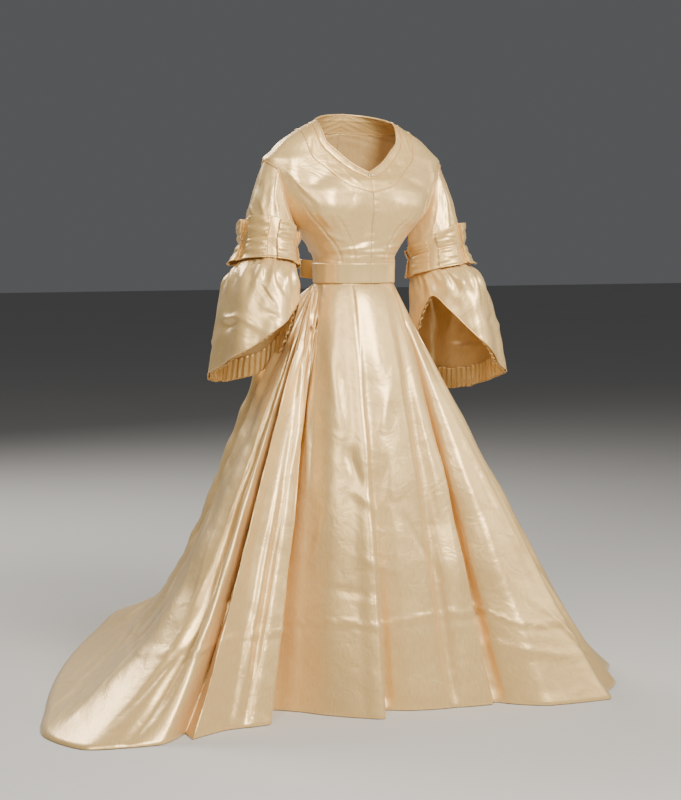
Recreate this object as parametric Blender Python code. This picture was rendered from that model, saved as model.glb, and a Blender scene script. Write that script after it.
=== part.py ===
"""Satin wedding dress with bell sleeves and a train, as hollow cloth walls.

Heights in the tables are metres above the hem. The part's origin is the middle of the line
between the two shoulders, so every point is lowered by SHOULDER_HEIGHT at the end.
Front is -Y, the wearer's left is +X. A turn is an angle in degrees round the body:
0 at the centre front, +90 at the wearer's left side, 180 at the centre back.
"""
import bpy
import numpy as np

SHOULDER_HEIGHT = 1.334
CLOTH = 0.002
SEAM_GAP = 0.0003
HALF_GAP = SEAM_GAP / 2

# Torso sections: what the bodice is cut to.
WAIST_SEAM = 0.996
TORSO_ROUNDNESS = 0.88
TORSO = np.array([
    # height, half width, front depth, back depth
    (0.960, 0.0965, 0.0880, 0.0720),
    (0.996, 0.0965, 0.0880, 0.0720),
    (1.030, 0.0990, 0.0910, 0.0765),
    (1.060, 0.1150, 0.0950, 0.0830),
    (1.100, 0.1500, 0.1000, 0.0920),
    (1.140, 0.1870, 0.1040, 0.1000),
    (1.185, 0.2090, 0.1030, 0.1040),
    (1.210, 0.2190, 0.0950, 0.1040),
    (1.235, 0.2330, 0.0800, 0.1010),
    (1.262, 0.2340, 0.0660, 0.0940),
    (1.285, 0.2120, 0.0560, 0.0870),
    (1.308, 0.1880, 0.0470, 0.0790),
    (1.334, 0.1470, 0.0380, 0.0690),
    (1.355, 0.1050, 0.0300, 0.0600),
    (1.375, 0.0700, 0.0250, 0.0540),
])
BUST_TURN = 40.0
BUST_HEIGHT = 1.150
BUST_FULLNESS = 0.012
BUST_SPREAD_TURN = 20.0
BUST_SPREAD_HEIGHT = 0.045

# Neck band: its outer edge is the bodice's neck seam, its inner edge is the neckline.
NECK_FRONT = np.array([
    # outer half width, outer height, inner half width, inner height
    (0.0000, 1.185, 0.0000, 1.231),
    (0.0560, 1.202, 0.0400, 1.253),
    (0.1040, 1.240, 0.0740, 1.283),
    (0.1360, 1.273, 0.0970, 1.308),
    (0.1470, 1.334, 0.1050, 1.355),
])
NECK_BACK = np.array([
    (0.0000, 1.330, 0.0000, 1.373),
    (0.0500, 1.328, 0.0400, 1.371),
    (0.0900, 1.327, 0.0700, 1.367),
    (0.1250, 1.328, 0.0920, 1.361),
    (0.1470, 1.334, 0.1050, 1.355),
])
NECK_PIPING_RADIUS = 0.0022

# Where a bodice panel's rows and columns fall, as shares of its height and width.
BODICE_ROWS = np.array((0.0, 0.10, 0.20, 0.30, 0.35, 0.40, 0.45, 0.50, 0.55, 0.60, 0.65, 0.70,
                        0.75, 0.83, 0.92, 1.0))
BODICE_COLUMNS = np.linspace(0, 1, 9)
CENTRE_TOP = 0.45
UNDERARM_ROW = 0.30
TIP_ROW = 0.75
NECK_SIDE_SHARE = 0.95

# Armhole, from the tip of the shoulder down to the underarm.
UNDERARM_HEIGHT = 1.100
SHOULDER_TIP_HEIGHT = 1.262
ARMHOLE = np.array([
    # share of the way, height, turn of the front edge, turn of the back edge from the back
    (0.00, 1.262, 90.0, 90.0),
    (0.25, 1.235, 66.0, 66.0),
    (0.38, 1.210, 70.0, 68.0),
    (0.50, 1.185, 72.0, 70.0),
    (0.74, 1.140, 77.0, 76.0),
    (1.00, 1.100, 90.0, 90.0),
])
SLEEVE_START = 0.0004
SLEEVE_START_INSIDE = 0.0035

# Sleeve: a ring under the band, tilted so that its outer side is higher.
BAND_CENTRE = np.array((0.2280, -0.004, 1.072))
BAND_HALF_WIDTH = 0.0615
BAND_HALF_LENGTH = 0.0730
BAND_TILT_OUTSIDE = 0.0115
BAND_TILT_FRONT = 0.0165
BAND_RISE = 0.0370
BAND_RISE_OUTSIDE = 0.0150
BAND_RISE_FRONT = 0.0100
BAND_DROP = 0.0460
BAND_CLEARANCE = 0.0013
BAND_PLEATS = 6
PLEAT_SHARES = (0.0, 0.30, 0.34, 0.65, 0.96)
PLEAT_DEPTH_RIM = 0.0100
PLEAT_DEPTH_MIDDLE = 0.0035
PLEAT_DEPTH_INSIDE = 0.45
BAND_RIM_SPREAD = 0.0030

# Flounce: half sizes of its hem about its centre, and how it opens with the drop.
FLOUNCE_START = 0.0003
FLOUNCE_CENTRE = np.array((0.2830, -0.027))
FLOUNCE_OUTER = 0.0930
FLOUNCE_INNER = 0.0780
FLOUNCE_FRONT = 0.1440
FLOUNCE_BACK = 0.1450
FLOUNCE_OPENING = np.array([
    # drop below the band's middle, share of the full opening
    (0.000, 0.00),
    (0.040, 0.03),
    (0.052, 0.16),
    (0.066, 0.33),
    (0.090, 0.50),
    (0.140, 0.68),
    (0.210, 0.85),
    (0.300, 1.00),
    (0.400, 1.06),
])
FLOUNCE_HEM = np.array([
    # angle round the sleeve (0 outside, 90 front, 180 inside), hem height
    (-30.0, 0.752),
    (0.0, 0.768),
    (45.0, 0.800),
    (90.0, 0.848),
    (130.0, 0.903),
    (150.0, 0.926),
    (172.0, 0.905),
    (200.0, 0.845),
    (235.0, 0.778),
    (270.0, 0.748),
    (300.0, 0.745),
    (330.0, 0.752),
])
FLOUNCE_FOLDS = np.array([
    # angle round the sleeve, swell at the hem
    (-20.0, 0.000),
    (10.0, -0.008),
    (35.0, 0.006),
    (62.0, -0.010),
    (95.0, 0.008),
    (120.0, -0.006),
    (150.0, 0.003),
    (180.0, -0.004),
    (215.0, 0.006),
    (245.0, -0.010),
    (275.0, 0.010),
    (305.0, -0.008),
    (340.0, 0.000),
])
FLOUNCE_GATHERS = 14
GATHER_DEPTH = 0.0035
GATHER_DROP = 0.085
GATHER_SPREAD = 0.020
LEFT_FLOUNCE_LONGER = 0.030
FRILL_PLEATS = 36
FRILL_HEIGHT = 0.050
FRILL_DEPTH = 0.0035
FRILL_BELOW_HEM = 0.006
FRILL_CLEARANCE = 0.0020

# Ribbon belt and the flat bow on it, standing out at the centre back.
BELT_TOP = 1.019
BELT_BOTTOM = 0.972
BELT_CLEARANCE = 0.0010
RIBBON = 0.0015
BOW_LOOP_LENGTH = 0.078
BOW_LOOP_DEPTH = 0.026
BOW_HEIGHT = 0.043
KNOT_WIDTH = 0.034
KNOT_DEPTH = 0.034
KNOT_HEIGHT = 0.046
BOW_GAP = 0.0006
CLASP_WIDTH = 0.012
CLASP_RADIUS = 0.0012
CLASP_SHARE = 0.86

# Skirt: one row for each ridge, valley or tuck, all the way round from the centre back.
FLARE_HEIGHT = 0.970
HEM_LIFT = 0.0024
FOLD_NAMES = ("waist_turn", "hem_turn", "hem_reach", "flare", "train", "swell", "columns")
FOLDS = np.array([
    # waist turn, hem turn, hem reach, flare, share lying out as train, swell, columns to the next
    (-180.0, -182.0, 1.285, 1.00, 0.34, 0.000, 4),
    (-169.0, -172.0, 1.150, 1.00, 0.36, 0.000, 4),
    (-158.0, -161.0, 0.963, 1.00, 0.36, 0.000, 4),
    (-147.0, -143.0, 0.802, 1.00, 0.36, 0.000, 4),
    (-136.0, -118.0, 0.728, 1.00, 0.36, 0.000, 4),
    (-125.0, -93.5, 0.775, 1.00, 0.34, 0.000, 3),
    (-119.0, -77.0, 0.885, 1.00, 0.30, 0.004, 2),
    (-116.0, -67.5, 0.890, 1.00, 0.28, 0.000, 1),
    (-113.5, -63.8, 0.830, 1.00, 0.20, -0.014, 2),
    (-110.0, -60.6, 0.765, 0.98, 0.10, 0.008, 2),
    (-104.5, -57.8, 0.695, 1.00, 0.08, 0.000, 2),
    (-98.5, -61.0, 0.605, 0.98, 0.04, -0.012, 2),
    (-94.0, -56.0, 0.572, 1.00, 0.00, 0.002, 2),
    (-89.5, -52.6, 0.532, 0.98, 0.00, -0.004, 2),
    (-85.0, -49.8, 0.496, 1.00, 0.00, -0.006, 2),
    (-78.0, -58.5, 0.374, 0.92, 0.00, 0.000, 2),
    (-73.5, -49.5, 0.359, 0.80, 0.00, 0.000, 2),
    (-60.0, -36.5, 0.376, 0.80, 0.00, 0.003, 2),
    (-40.0, -25.0, 0.398, 0.84, 0.00, -0.003, 2),
    (-26.0, -18.1, 0.411, 0.86, 0.00, 0.002, 1),
    (-21.0, -15.0, 0.332, 0.58, 0.00, 0.000, 2),
    (-4.0, -5.0, 0.350, 0.70, 0.00, 0.002, 2),
    (12.0, 5.2, 0.366, 0.76, 0.00, 0.002, 2),
    (24.0, 11.0, 0.376, 0.78, 0.00, -0.010, 2),
    (36.0, 17.0, 0.394, 0.82, 0.00, 0.004, 2),
    (46.0, 22.8, 0.414, 0.87, 0.00, 0.008, 2),
    (52.5, 26.0, 0.408, 0.91, 0.00, -0.014, 2),
    (58.5, 28.0, 0.465, 0.98, 0.00, 0.000, 2),
    (62.5, 32.5, 0.540, 1.00, 0.02, 0.008, 2),
    (67.5, 42.8, 0.633, 1.00, 0.04, 0.006, 2),
    (73.0, 50.7, 0.622, 1.02, 0.06, -0.016, 2),
    (79.0, 59.7, 0.640, 1.03, 0.08, 0.012, 2),
    (85.0, 70.0, 0.640, 1.04, 0.10, -0.016, 2),
    (91.5, 80.0, 0.680, 1.04, 0.16, 0.012, 2),
    (98.0, 88.0, 0.680, 1.04, 0.20, -0.016, 2),
    (105.0, 95.0, 0.710, 1.02, 0.24, 0.010, 2),
    (114.0, 105.0, 0.720, 1.00, 0.28, 0.000, 4),
    (125.0, 117.0, 0.785, 1.00, 0.32, 0.000, 4),
    (136.0, 132.0, 0.910, 1.00, 0.34, 0.000, 4),
    (147.0, 146.0, 1.060, 1.00, 0.34, 0.000, 4),
    (158.0, 157.5, 1.190, 1.00, 0.34, 0.000, 4),
    (169.0, 168.0, 1.280, 1.00, 0.34, 0.000, 4),
    (180.0, 178.0, 1.285, 1.00, 0.34, 0.000, 0),
])
TRAIN_BEND = 8.0
SPRING = np.array([
    # distance of the waist turn from the front, how far the cloth springs out under the belt
    (0.0, 0.000),
    (60.0, 0.000),
    (90.0, 0.002),
    (112.0, 0.006),
    (122.0, 0.022),
    (134.0, 0.052),
    (150.0, 0.066),
    (180.0, 0.070),
])
SPRING_DROP = 0.060
BACK_GATHERS = 12
BACK_GATHER_DEPTH = 0.012
BACK_GATHER_START = 114.0
BACK_GATHER_FADE = 8.0
DROP_SHARES = (0.0, 0.018, 0.045, 0.090, 0.150, 0.240, 0.350, 0.480, 0.620, 0.760,
               0.870, 0.945, 1.0)
SKIRT_PANELS = (
    # node, where its first seam is in the fold table, where its last seam is
    ("skirt_back_right", 0, 4.75),
    ("skirt_side_right", 4.75, 15),
    ("skirt_front", 15, 26),
    ("skirt_side_left", 26, 37.25),
    ("skirt_back_left", 37.25, 42),
)


def smooth(knots, values, at):
    """Cubic curve through a table's points that never overshoots them."""
    knots = np.asarray(knots, float)
    values = np.asarray(values, float)
    step = np.diff(knots)
    slope = np.diff(values) / step
    both = slope[:-1] * slope[1:]
    total = slope[:-1] + slope[1:]
    middle = np.where(both > 0, 2 * both / np.where(both > 0, total, 1), 0)
    tangent = np.concatenate([slope[:1], middle, slope[-1:]])
    at = np.clip(at, knots[0], knots[-1])
    i = np.clip(np.searchsorted(knots, at, side="right") - 1, 0, len(step) - 1)
    t = (at - knots[i]) / step[i]
    a = values[i]
    b = values[i + 1]
    ta = tangent[i] * step[i]
    tb = tangent[i + 1] * step[i]
    return (a * (1 + 2 * t) * (1 - t) ** 2 + ta * t * (1 - t) ** 2
            + b * t * t * (3 - 2 * t) + tb * t * t * (t - 1))


def rounded(value):
    """Sine or cosine made squarer, as a chest is squarer than an ellipse."""
    return np.sign(value) * np.abs(value) ** TORSO_ROUNDNESS


def torso(turn, height):
    """Points of the torso at the turns and heights given."""
    a = np.radians(turn)
    wide = smooth(TORSO[:, 0], TORSO[:, 1], height)
    front = smooth(TORSO[:, 0], TORSO[:, 2], height)
    back = smooth(TORSO[:, 0], TORSO[:, 3], height)
    x = wide * rounded(np.sin(a))
    y = -np.where(np.cos(a) > 0, front, back) * rounded(np.cos(a))
    full = BUST_FULLNESS * np.exp(-((np.abs(turn) - BUST_TURN) / BUST_SPREAD_TURN) ** 2
                                  - ((height - BUST_HEIGHT) / BUST_SPREAD_HEIGHT) ** 2)
    return np.stack([x + 0.4 * full * np.sign(x), y - full, height + 0 * x], axis=-1)


def torso_normal(turn, height):
    """Outward direction of the torso's cloth, the same for every piece that meets there."""
    step_turn = 2.0
    step_height = 0.004
    around = torso(turn + step_turn, height) - torso(turn - step_turn, height)
    up = torso(turn, height + step_height) - torso(turn, height - step_height)
    n = np.cross(around, up)
    return n / np.linalg.norm(n, axis=-1, keepdims=True)


def turn_at(half_width, height):
    """Turn of the torso's point with this half width at this height."""
    wide = smooth(TORSO[:, 0], TORSO[:, 1], height)
    ratio = np.clip(half_width / wide, 0, 1)
    return np.degrees(np.arcsin(ratio ** (1 / TORSO_ROUNDNESS)))


def directions(grid, axis):
    """Direction of the cloth at each point along rows or columns, midway between its steps."""
    step = np.diff(grid, axis=axis)
    length = np.linalg.norm(step, axis=-1, keepdims=True)
    step = step / np.where(length > 1e-9, length, 1)
    first = np.take(step, [0], axis=axis)
    last = np.take(step, [-1], axis=axis)
    return np.concatenate([first, step], axis=axis) + np.concatenate([step, last], axis=axis)


def normals(grid, outward):
    """Unit normals of a grid of points; outward is +1 or -1."""
    n = np.cross(directions(grid, 1), directions(grid, 0)) * outward
    length = np.linalg.norm(n, axis=-1, keepdims=True)
    return n / np.where(length > 1e-12, length, 1)


def ring_normals(grid, outward):
    """Unit normals of a grid whose last column meets its first."""
    around = np.concatenate([grid[:, -2:-1], grid, grid[:, 1:2]], axis=1)
    return normals(around, outward)[:, 1:-1]


def mirrored(grid, side):
    """The grid itself for side +1, its mirror image in X for side -1."""
    return grid * np.array((side, 1.0, 1.0))


def trimmed(grid, edges):
    """Pull the named edges of a grid in by half a seam gap, along the grid."""
    out = grid.copy()
    for edge in edges:
        axis = 0 if edge in ("first_row", "last_row") else 1
        near = 0 if edge.startswith("first") else -1
        next_in = 1 if near == 0 else -2
        a = np.take(out, near, axis=axis)
        b = np.take(out, next_in, axis=axis)
        d = b - a
        length = np.linalg.norm(d, axis=-1, keepdims=True)
        moved = a + d * (HALF_GAP / np.where(length > HALF_GAP, length, 1))
        if axis == 0:
            out[near] = moved
        else:
            out[:, near] = moved
    return out


def wall_mesh(name, outer, inner):
    """Closed wall between two grids of points of the same size."""
    rows, columns = outer.shape[:2]
    count = rows * columns
    index = np.arange(count).reshape(rows, columns)
    a = index[:-1, :-1].ravel()
    b = index[:-1, 1:].ravel()
    c = index[1:, 1:].ravel()
    d = index[1:, :-1].ravel()
    flat = outer.reshape(-1, 3)
    short = (np.linalg.norm(flat[a] - flat[c], axis=1)
             <= np.linalg.norm(flat[b] - flat[d], axis=1))
    face = np.concatenate([np.stack([a, b, np.where(short, c, d)], 1),
                           np.stack([np.where(short, a, b), c, d], 1)])
    loop = np.concatenate([index[0, :-1], index[:-1, -1], index[-1, :0:-1], index[:0:-1, 0]])
    after = np.roll(loop, -1)
    rim = np.concatenate([np.stack([loop, loop + count, after + count], 1),
                          np.stack([loop, after + count, after], 1)])
    faces = np.concatenate([face, face[:, ::-1] + count, rim])
    points = np.concatenate([outer.reshape(-1, 3), inner.reshape(-1, 3)])
    mesh = bpy.data.meshes.new(name)
    mesh.from_pydata(points.tolist(), [], faces.tolist())
    mesh.update()
    return mesh


def signed_volume(mesh):
    """Volume inside the mesh, negative when its faces point inwards."""
    points = np.empty(len(mesh.vertices) * 3)
    mesh.vertices.foreach_get("co", points)
    points = points.reshape(-1, 3)
    corners = np.array([tuple(p.vertices) for p in mesh.polygons])
    a, b, c = (points[corners[:, k]] for k in range(3))
    return np.einsum("ij,ij->i", a, np.cross(b, c)).sum() / 6


def add_piece(name, mesh, material):
    """Put a mesh in the scene as a piece of the dress, faces outwards."""
    if signed_volume(mesh) < 0:
        mesh.flip_normals()
    mesh.materials.append(material)
    mesh.shade_smooth()
    piece = bpy.data.objects.new(name, mesh)
    bpy.context.scene.collection.objects.link(piece)
    return piece


def add_wall(name, grid, normal, material, lift=0.0, thickness=CLOTH, edges=()):
    """A cloth wall: outer side on the grid moved out by lift, inner side one thickness in."""
    lowered = np.array((0.0, 0.0, SHOULDER_HEIGHT))
    outer = trimmed(grid + normal * lift, edges) - lowered
    inner = trimmed(grid + normal * (lift - thickness), edges) - lowered
    return add_piece(name, wall_mesh(name, outer, inner), material)


def add_tube(name, path, normal, radius, material, sides=6):
    """A cord along a path of points; normal gives the side it is laid on."""
    along = np.gradient(path, axis=0)
    along /= np.linalg.norm(along, axis=1, keepdims=True)
    up = normal - along * np.einsum("ij,ij->i", normal, along)[:, None]
    up /= np.linalg.norm(up, axis=1, keepdims=True)
    side = np.cross(along, up)
    turn = np.arange(sides) * 2 * np.pi / sides
    ring = (path[:, None] + radius * (np.cos(turn)[None, :, None] * up[:, None]
                                      + np.sin(turn)[None, :, None] * side[:, None]))
    ring = ring - np.array((0.0, 0.0, SHOULDER_HEIGHT))
    count = len(path)
    index = np.arange(count * sides).reshape(count, sides)
    a = index[:-1]
    b = index[1:]
    quads = np.stack([a, b, np.roll(b, -1, 1), np.roll(a, -1, 1)], -1).reshape(-1, 4)
    faces = np.concatenate([quads[:, (0, 1, 2)], quads[:, (0, 2, 3)]]).tolist()
    for k in range(1, sides - 1):
        faces.append((index[0, 0], index[0, k], index[0, k + 1]))
        faces.append((index[-1, 0], index[-1, k + 1], index[-1, k]))
    mesh = bpy.data.meshes.new(name)
    mesh.from_pydata(ring.reshape(-1, 3).tolist(), [], [tuple(int(v) for v in f) for f in faces])
    mesh.update()
    return add_piece(name, mesh, material)


def cloth_material(name, red, green, blue, roughness):
    """A satin or ribbon material with its own colour."""
    material = bpy.data.materials.new(name)
    material.use_nodes = True
    shader = material.node_tree.nodes["Principled BSDF"]
    shader.inputs["Base Color"].default_value = (red, green, blue, 1.0)
    shader.inputs["Roughness"].default_value = roughness
    shader.inputs["Metallic"].default_value = 0.0
    return material


def grid_between(bottom, top, first, last, u, v):
    """Patch between four edge curves that meet at their corners, at shares u and v."""
    u = u[None, :, None]
    v = v[:, None, None]
    corners = ((1 - u) * (1 - v) * bottom[0] + u * (1 - v) * bottom[-1]
               + (1 - u) * v * top[0] + u * v * top[-1])
    return ((1 - v) * bottom[None] + v * top[None]
            + (1 - u) * first[:, None] + u * last[:, None] - corners)


def armhole_turns(share, back):
    """Turn and height of the armhole's edge at a share of the way down from the shoulder."""
    height = smooth(ARMHOLE[:, 0], ARMHOLE[:, 1], share)
    turn = smooth(ARMHOLE[:, 0], ARMHOLE[:, 3 if back else 2], share)
    return (180 - turn if back else turn), height


def neck_edge(table, share, inner, back):
    """Turn and height of a neck band edge; share 0 at the centre, 1 at the shoulder."""
    column = 2 if inner else 0
    rows = np.linspace(0, 1, len(table))
    width = smooth(rows, table[:, column], share)
    height = smooth(rows, table[:, column + 1], share)
    turn = np.where(share >= 1, 90.0, turn_at(width, height))
    return (180 - turn if back else turn), height


def neck_shares():
    """Shares of the neck edge, centre to shoulder, where bodice and band have their points."""
    rows = BODICE_ROWS[BODICE_ROWS >= CENTRE_TOP]
    up = (rows - CENTRE_TOP) / (1 - CENTRE_TOP) * NECK_SIDE_SHARE
    return np.concatenate([up, (NECK_SIDE_SHARE + (1 - NECK_SIDE_SHARE) * BODICE_COLUMNS)[1:]])


def armhole_shares():
    """Shares of the armhole, shoulder tip to underarm, where bodice and sleeve meet."""
    rows = BODICE_ROWS[(BODICE_ROWS >= UNDERARM_ROW) & (BODICE_ROWS <= TIP_ROW)]
    return 1 - (rows[::-1] - UNDERARM_ROW) / (TIP_ROW - UNDERARM_ROW)


def bodice_patch(back):
    """Turns and heights of half the bodice front or back, from the waist up.

    Its first edge is the centre line and then the neck seam, its last edge the side seam, the
    armhole and the shoulder seam; its short top edge is the neck seam beside the shoulder.
    """
    centre = 180.0 if back else 0.0
    table = NECK_BACK if back else NECK_FRONT
    u = BODICE_COLUMNS
    v = BODICE_ROWS
    bottom = np.stack([centre + (90 - centre) * u, WAIST_SEAM + 0 * u], 1)
    top = np.stack(neck_edge(table, NECK_SIDE_SHARE + (1 - NECK_SIDE_SHARE) * u, False, back), 1)
    along_neck = np.clip((v - CENTRE_TOP) / (1 - CENTRE_TOP), 0, 1) * NECK_SIDE_SHARE
    neck_turn, neck_height = neck_edge(table, along_neck, False, back)
    rise = np.clip(v / CENTRE_TOP, 0, 1)
    first = np.stack([neck_turn, np.where(v < CENTRE_TOP, WAIST_SEAM
                                          + rise * (neck_height[0] - WAIST_SEAM), neck_height)], 1)
    down_arm = np.clip((TIP_ROW - v) / (TIP_ROW - UNDERARM_ROW), 0, 1)
    arm_turn, arm_height = armhole_turns(down_arm, back)
    side_height = WAIST_SEAM + v / UNDERARM_ROW * (UNDERARM_HEIGHT - WAIST_SEAM)
    neck_top = top[-1, 1]
    over = np.clip((v - TIP_ROW) / (1 - TIP_ROW), 0, 1)
    seam_height = SHOULDER_TIP_HEIGHT + over * (neck_top - SHOULDER_TIP_HEIGHT)
    height = np.where(v < UNDERARM_ROW, side_height,
                      np.where(v > TIP_ROW, seam_height, arm_height))
    turn = np.where((v < UNDERARM_ROW) | (v > TIP_ROW), 90.0, arm_turn)
    last = np.stack([turn, height], 1)
    return grid_between(bottom, top, first, last, u, v)


def make_bodice(material):
    """Bodice fronts and backs, right and left."""
    for back in (False, True):
        patch = bodice_patch(back)
        grid = torso(patch[..., 0], patch[..., 1])
        normal = torso_normal(patch[..., 0], patch[..., 1])
        for side, word in ((1, "left"), (-1, "right")):
            name = f"bodice_{'back' if back else 'front'}_{word}"
            add_wall(name, mirrored(grid, side), mirrored(normal, side), material,
                     edges=("first_row", "last_row", "first_column", "last_column"))


def neck_band_patch(across=4):
    """Turns and heights of the neck band, centre front over the shoulder to centre back."""
    share = neck_shares()
    w = np.linspace(0, 1, across)[:, None]
    parts = []
    for table, back in ((NECK_FRONT, False), (NECK_BACK, True)):
        t0, h0 = neck_edge(table, share, False, back)
        t1, h1 = neck_edge(table, share, True, back)
        parts.append(np.stack([t0 + (t1 - t0) * w, h0 + (h1 - h0) * w], -1))
    return np.concatenate([parts[0], parts[1][:, -2::-1]], axis=1)


def make_neck(material, cord_material):
    """Neck band halves with a corded neckline."""
    patch = neck_band_patch()
    grid = torso(patch[..., 0], patch[..., 1])
    normal = torso_normal(patch[..., 0], patch[..., 1])
    for side, word in ((1, "left"), (-1, "right")):
        half = mirrored(grid, side)
        out = mirrored(normal, side)
        add_wall(f"neck_band_{word}", half, out, material,
                 edges=("first_row", "last_row", "first_column", "last_column"))
        inward = half[-1] - half[-2]
        inward /= np.linalg.norm(inward, axis=1, keepdims=True)
        path = half[-1] + inward * (NECK_PIPING_RADIUS + SEAM_GAP) - out[-1] * CLOTH / 2
        add_tube(f"neck_piping_{word}", path[1:-1], out[-1][1:-1], NECK_PIPING_RADIUS,
                 cord_material)


def band_ring(angle):
    """The sleeve's seam under the middle of the band, on the wearer's left."""
    a = np.radians(angle)
    tilt = BAND_TILT_OUTSIDE * np.cos(a) + BAND_TILT_FRONT * np.sin(a)
    return BAND_CENTRE + np.stack([BAND_HALF_WIDTH * np.cos(a), -BAND_HALF_LENGTH * np.sin(a),
                                   tilt], -1)


def armhole_ring(angle):
    """The armhole's point for an angle round the sleeve, 0 at the shoulder tip."""
    a = np.mod(angle, 360)
    front = a <= 180
    share = np.where(front, a, 360 - a) / 180
    front_turn, height = armhole_turns(share, False)
    back_turn, _ = armhole_turns(share, True)
    return torso(np.where(front, front_turn, back_turn), height)


def upper_sleeve(angles, share):
    """Points of the sleeve from the armhole (share 0) to the seam under the band (share 1)."""
    top = armhole_ring(angles)
    low = band_ring(angles)
    a = np.radians(angles)
    puff = np.stack([np.cos(a), -np.sin(a), 0 * a], -1) * 0.006
    share = np.asarray(share)[..., None]
    return top * (1 - share) + low * share + puff * np.sin(np.pi * share)


def upper_sleeve_grid(angles, rows=6):
    """Rows of the upper sleeve, starting just clear of the armhole's edge."""
    length = np.linalg.norm(band_ring(angles) - armhole_ring(angles), axis=-1)
    inside = 0.5 - 0.5 * np.cos(np.radians(angles))
    start = (SLEEVE_START + SLEEVE_START_INSIDE * inside) / length
    return np.array([upper_sleeve(angles, start + (1 - start) * t)
                     for t in np.linspace(0, 1, rows)])


def flounce(angles, drop, gathered=True):
    """Points of the bell flounce at a drop below the seam: a ring that opens as it falls."""
    ring = band_ring(angles)
    opening = smooth(FLOUNCE_OPENING[:, 0], FLOUNCE_OPENING[:, 1], drop)
    a = np.radians(angles)
    reach_x = np.where(np.cos(a) > 0, FLOUNCE_OUTER, FLOUNCE_INNER)
    reach_y = np.where(np.sin(a) > 0, FLOUNCE_FRONT, FLOUNCE_BACK)
    swell = opening ** 2 * smooth(FLOUNCE_FOLDS[:, 0], FLOUNCE_FOLDS[:, 1],
                                  np.mod(angles + 20, 360) - 20)
    if gathered:
        swell = swell + (GATHER_DEPTH * np.cos(a * FLOUNCE_GATHERS)
                         * np.exp(-((drop - GATHER_DROP) / GATHER_SPREAD) ** 2))
    centre = BAND_CENTRE[:2] + (FLOUNCE_CENTRE - BAND_CENTRE[:2]) * opening[..., None]
    x = centre[..., 0] + np.cos(a) * (BAND_HALF_WIDTH + swell
                                      + (reach_x - BAND_HALF_WIDTH) * opening)
    y = centre[..., 1] - np.sin(a) * (BAND_HALF_LENGTH + swell
                                      + (reach_y - BAND_HALF_LENGTH) * opening)
    return np.stack([x, y, ring[..., 2] - drop], -1)


def flounce_grid(angles, shares, longer):
    """Rows of the flounce: two under the band, then shares of the way to the slanted hem."""
    hem = smooth(FLOUNCE_HEM[:, 0], FLOUNCE_HEM[:, 1], np.mod(angles + 30, 360) - 30) - longer
    free = band_ring(angles)[:, 2] - hem - BAND_DROP
    drops = [np.full(len(angles), FLOUNCE_START), np.full(len(angles), BAND_DROP / 2)]
    drops += [BAND_DROP + share * free for share in shares]
    return np.array([flounce(angles, drop) for drop in drops])


def box_wave(angles):
    """1 on a box pleat, 0 between pleats; the sides of a pleat are steep."""
    share = np.mod(angles / 360 * BAND_PLEATS, 1)
    return smooth((0.0, 0.30, 0.34, 0.96, 1.0), (0.0, 0.0, 1.0, 1.0, 0.0), share)


def band_angles():
    """Angles of the band's corners, a few for each pleat."""
    period = 360 / BAND_PLEATS
    starts = np.arange(BAND_PLEATS) * period
    return np.concatenate([start + np.array(PLEAT_SHARES) * period for start in starts]
                          + [np.array([360.0])])


def sleeve_band_grid(angles, rows=5):
    """Box-pleated band sewn down along its middle, over the sleeve and the flounce's top."""
    a = np.radians(angles)
    out = np.stack([np.cos(a), -np.sin(a), 0 * a], -1)
    rise = BAND_RISE + BAND_RISE_OUTSIDE * np.cos(a) + BAND_RISE_FRONT * np.sin(a)
    length = np.linalg.norm(band_ring(angles) - armhole_ring(angles), axis=-1)
    inside = PLEAT_DEPTH_INSIDE + (1 - PLEAT_DEPTH_INSIDE) * (0.5 + 0.5 * np.cos(a))
    wave = box_wave(angles) * inside
    grid = []
    for level in np.linspace(-1, 1, rows):
        rim = abs(level)
        depth = PLEAT_DEPTH_MIDDLE + (PLEAT_DEPTH_RIM - PLEAT_DEPTH_MIDDLE) * rim ** 0.7
        lift = CLOTH + BAND_CLEARANCE + BAND_RIM_SPREAD * rim ** 1.5 * inside + wave * depth
        if level > 0:
            base = upper_sleeve(angles, 1 - rise * level / length)
        else:
            base = flounce(angles, np.full(len(angles), -BAND_DROP * level), gathered=False)
        grid.append(base + out * lift[:, None])
    return np.array(grid)


def frill_grid(angles, longer, rows=3):
    """Finely pleated frill inside the flounce's hem."""
    hem = flounce_grid(angles, (0.0, 0.86, 1.0), longer)
    normal = ring_normals(hem, 1.0)[-1]
    down = hem[-1] - hem[-2]
    down /= np.linalg.norm(down, axis=-1, keepdims=True)
    wave = np.cos(np.radians(angles) * FRILL_PLEATS)
    grid = []
    for share in np.linspace(0, 1, rows):
        base = hem[-1] - down * (FRILL_HEIGHT - share * (FRILL_HEIGHT + FRILL_BELOW_HEM))
        depth = FRILL_DEPTH * (0.45 + 0.55 * share)
        grid.append(base - normal * (CLOTH + FRILL_CLEARANCE + FRILL_DEPTH
                                     - wave[:, None] * depth))
    return np.array(grid)


def add_halves(name, word, side, grid, material, **wall):
    """A ring of cloth as a front and a back half; the ring starts on its outer side.

    The wall of a level row is as thick along the level as elsewhere along its normal, so that
    two rings meet there edge to edge.
    """
    normal = ring_normals(grid, 1.0 if wall.pop("downwards", False) else -1.0)
    level_row = wall.pop("level_row", None)
    if level_row is not None:
        level = normal[level_row] * np.array((1.0, 1.0, 0.0))
        normal[level_row] = level / np.linalg.norm(level, axis=-1, keepdims=True)
    middle = grid.shape[1] // 2
    for half, columns in (("front", slice(0, middle + 1)), ("back", slice(middle, None))):
        add_wall(f"{name}_{half}_{word}", mirrored(grid[:, columns], side),
                 mirrored(normal[:, columns], side), material, **wall)


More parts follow.
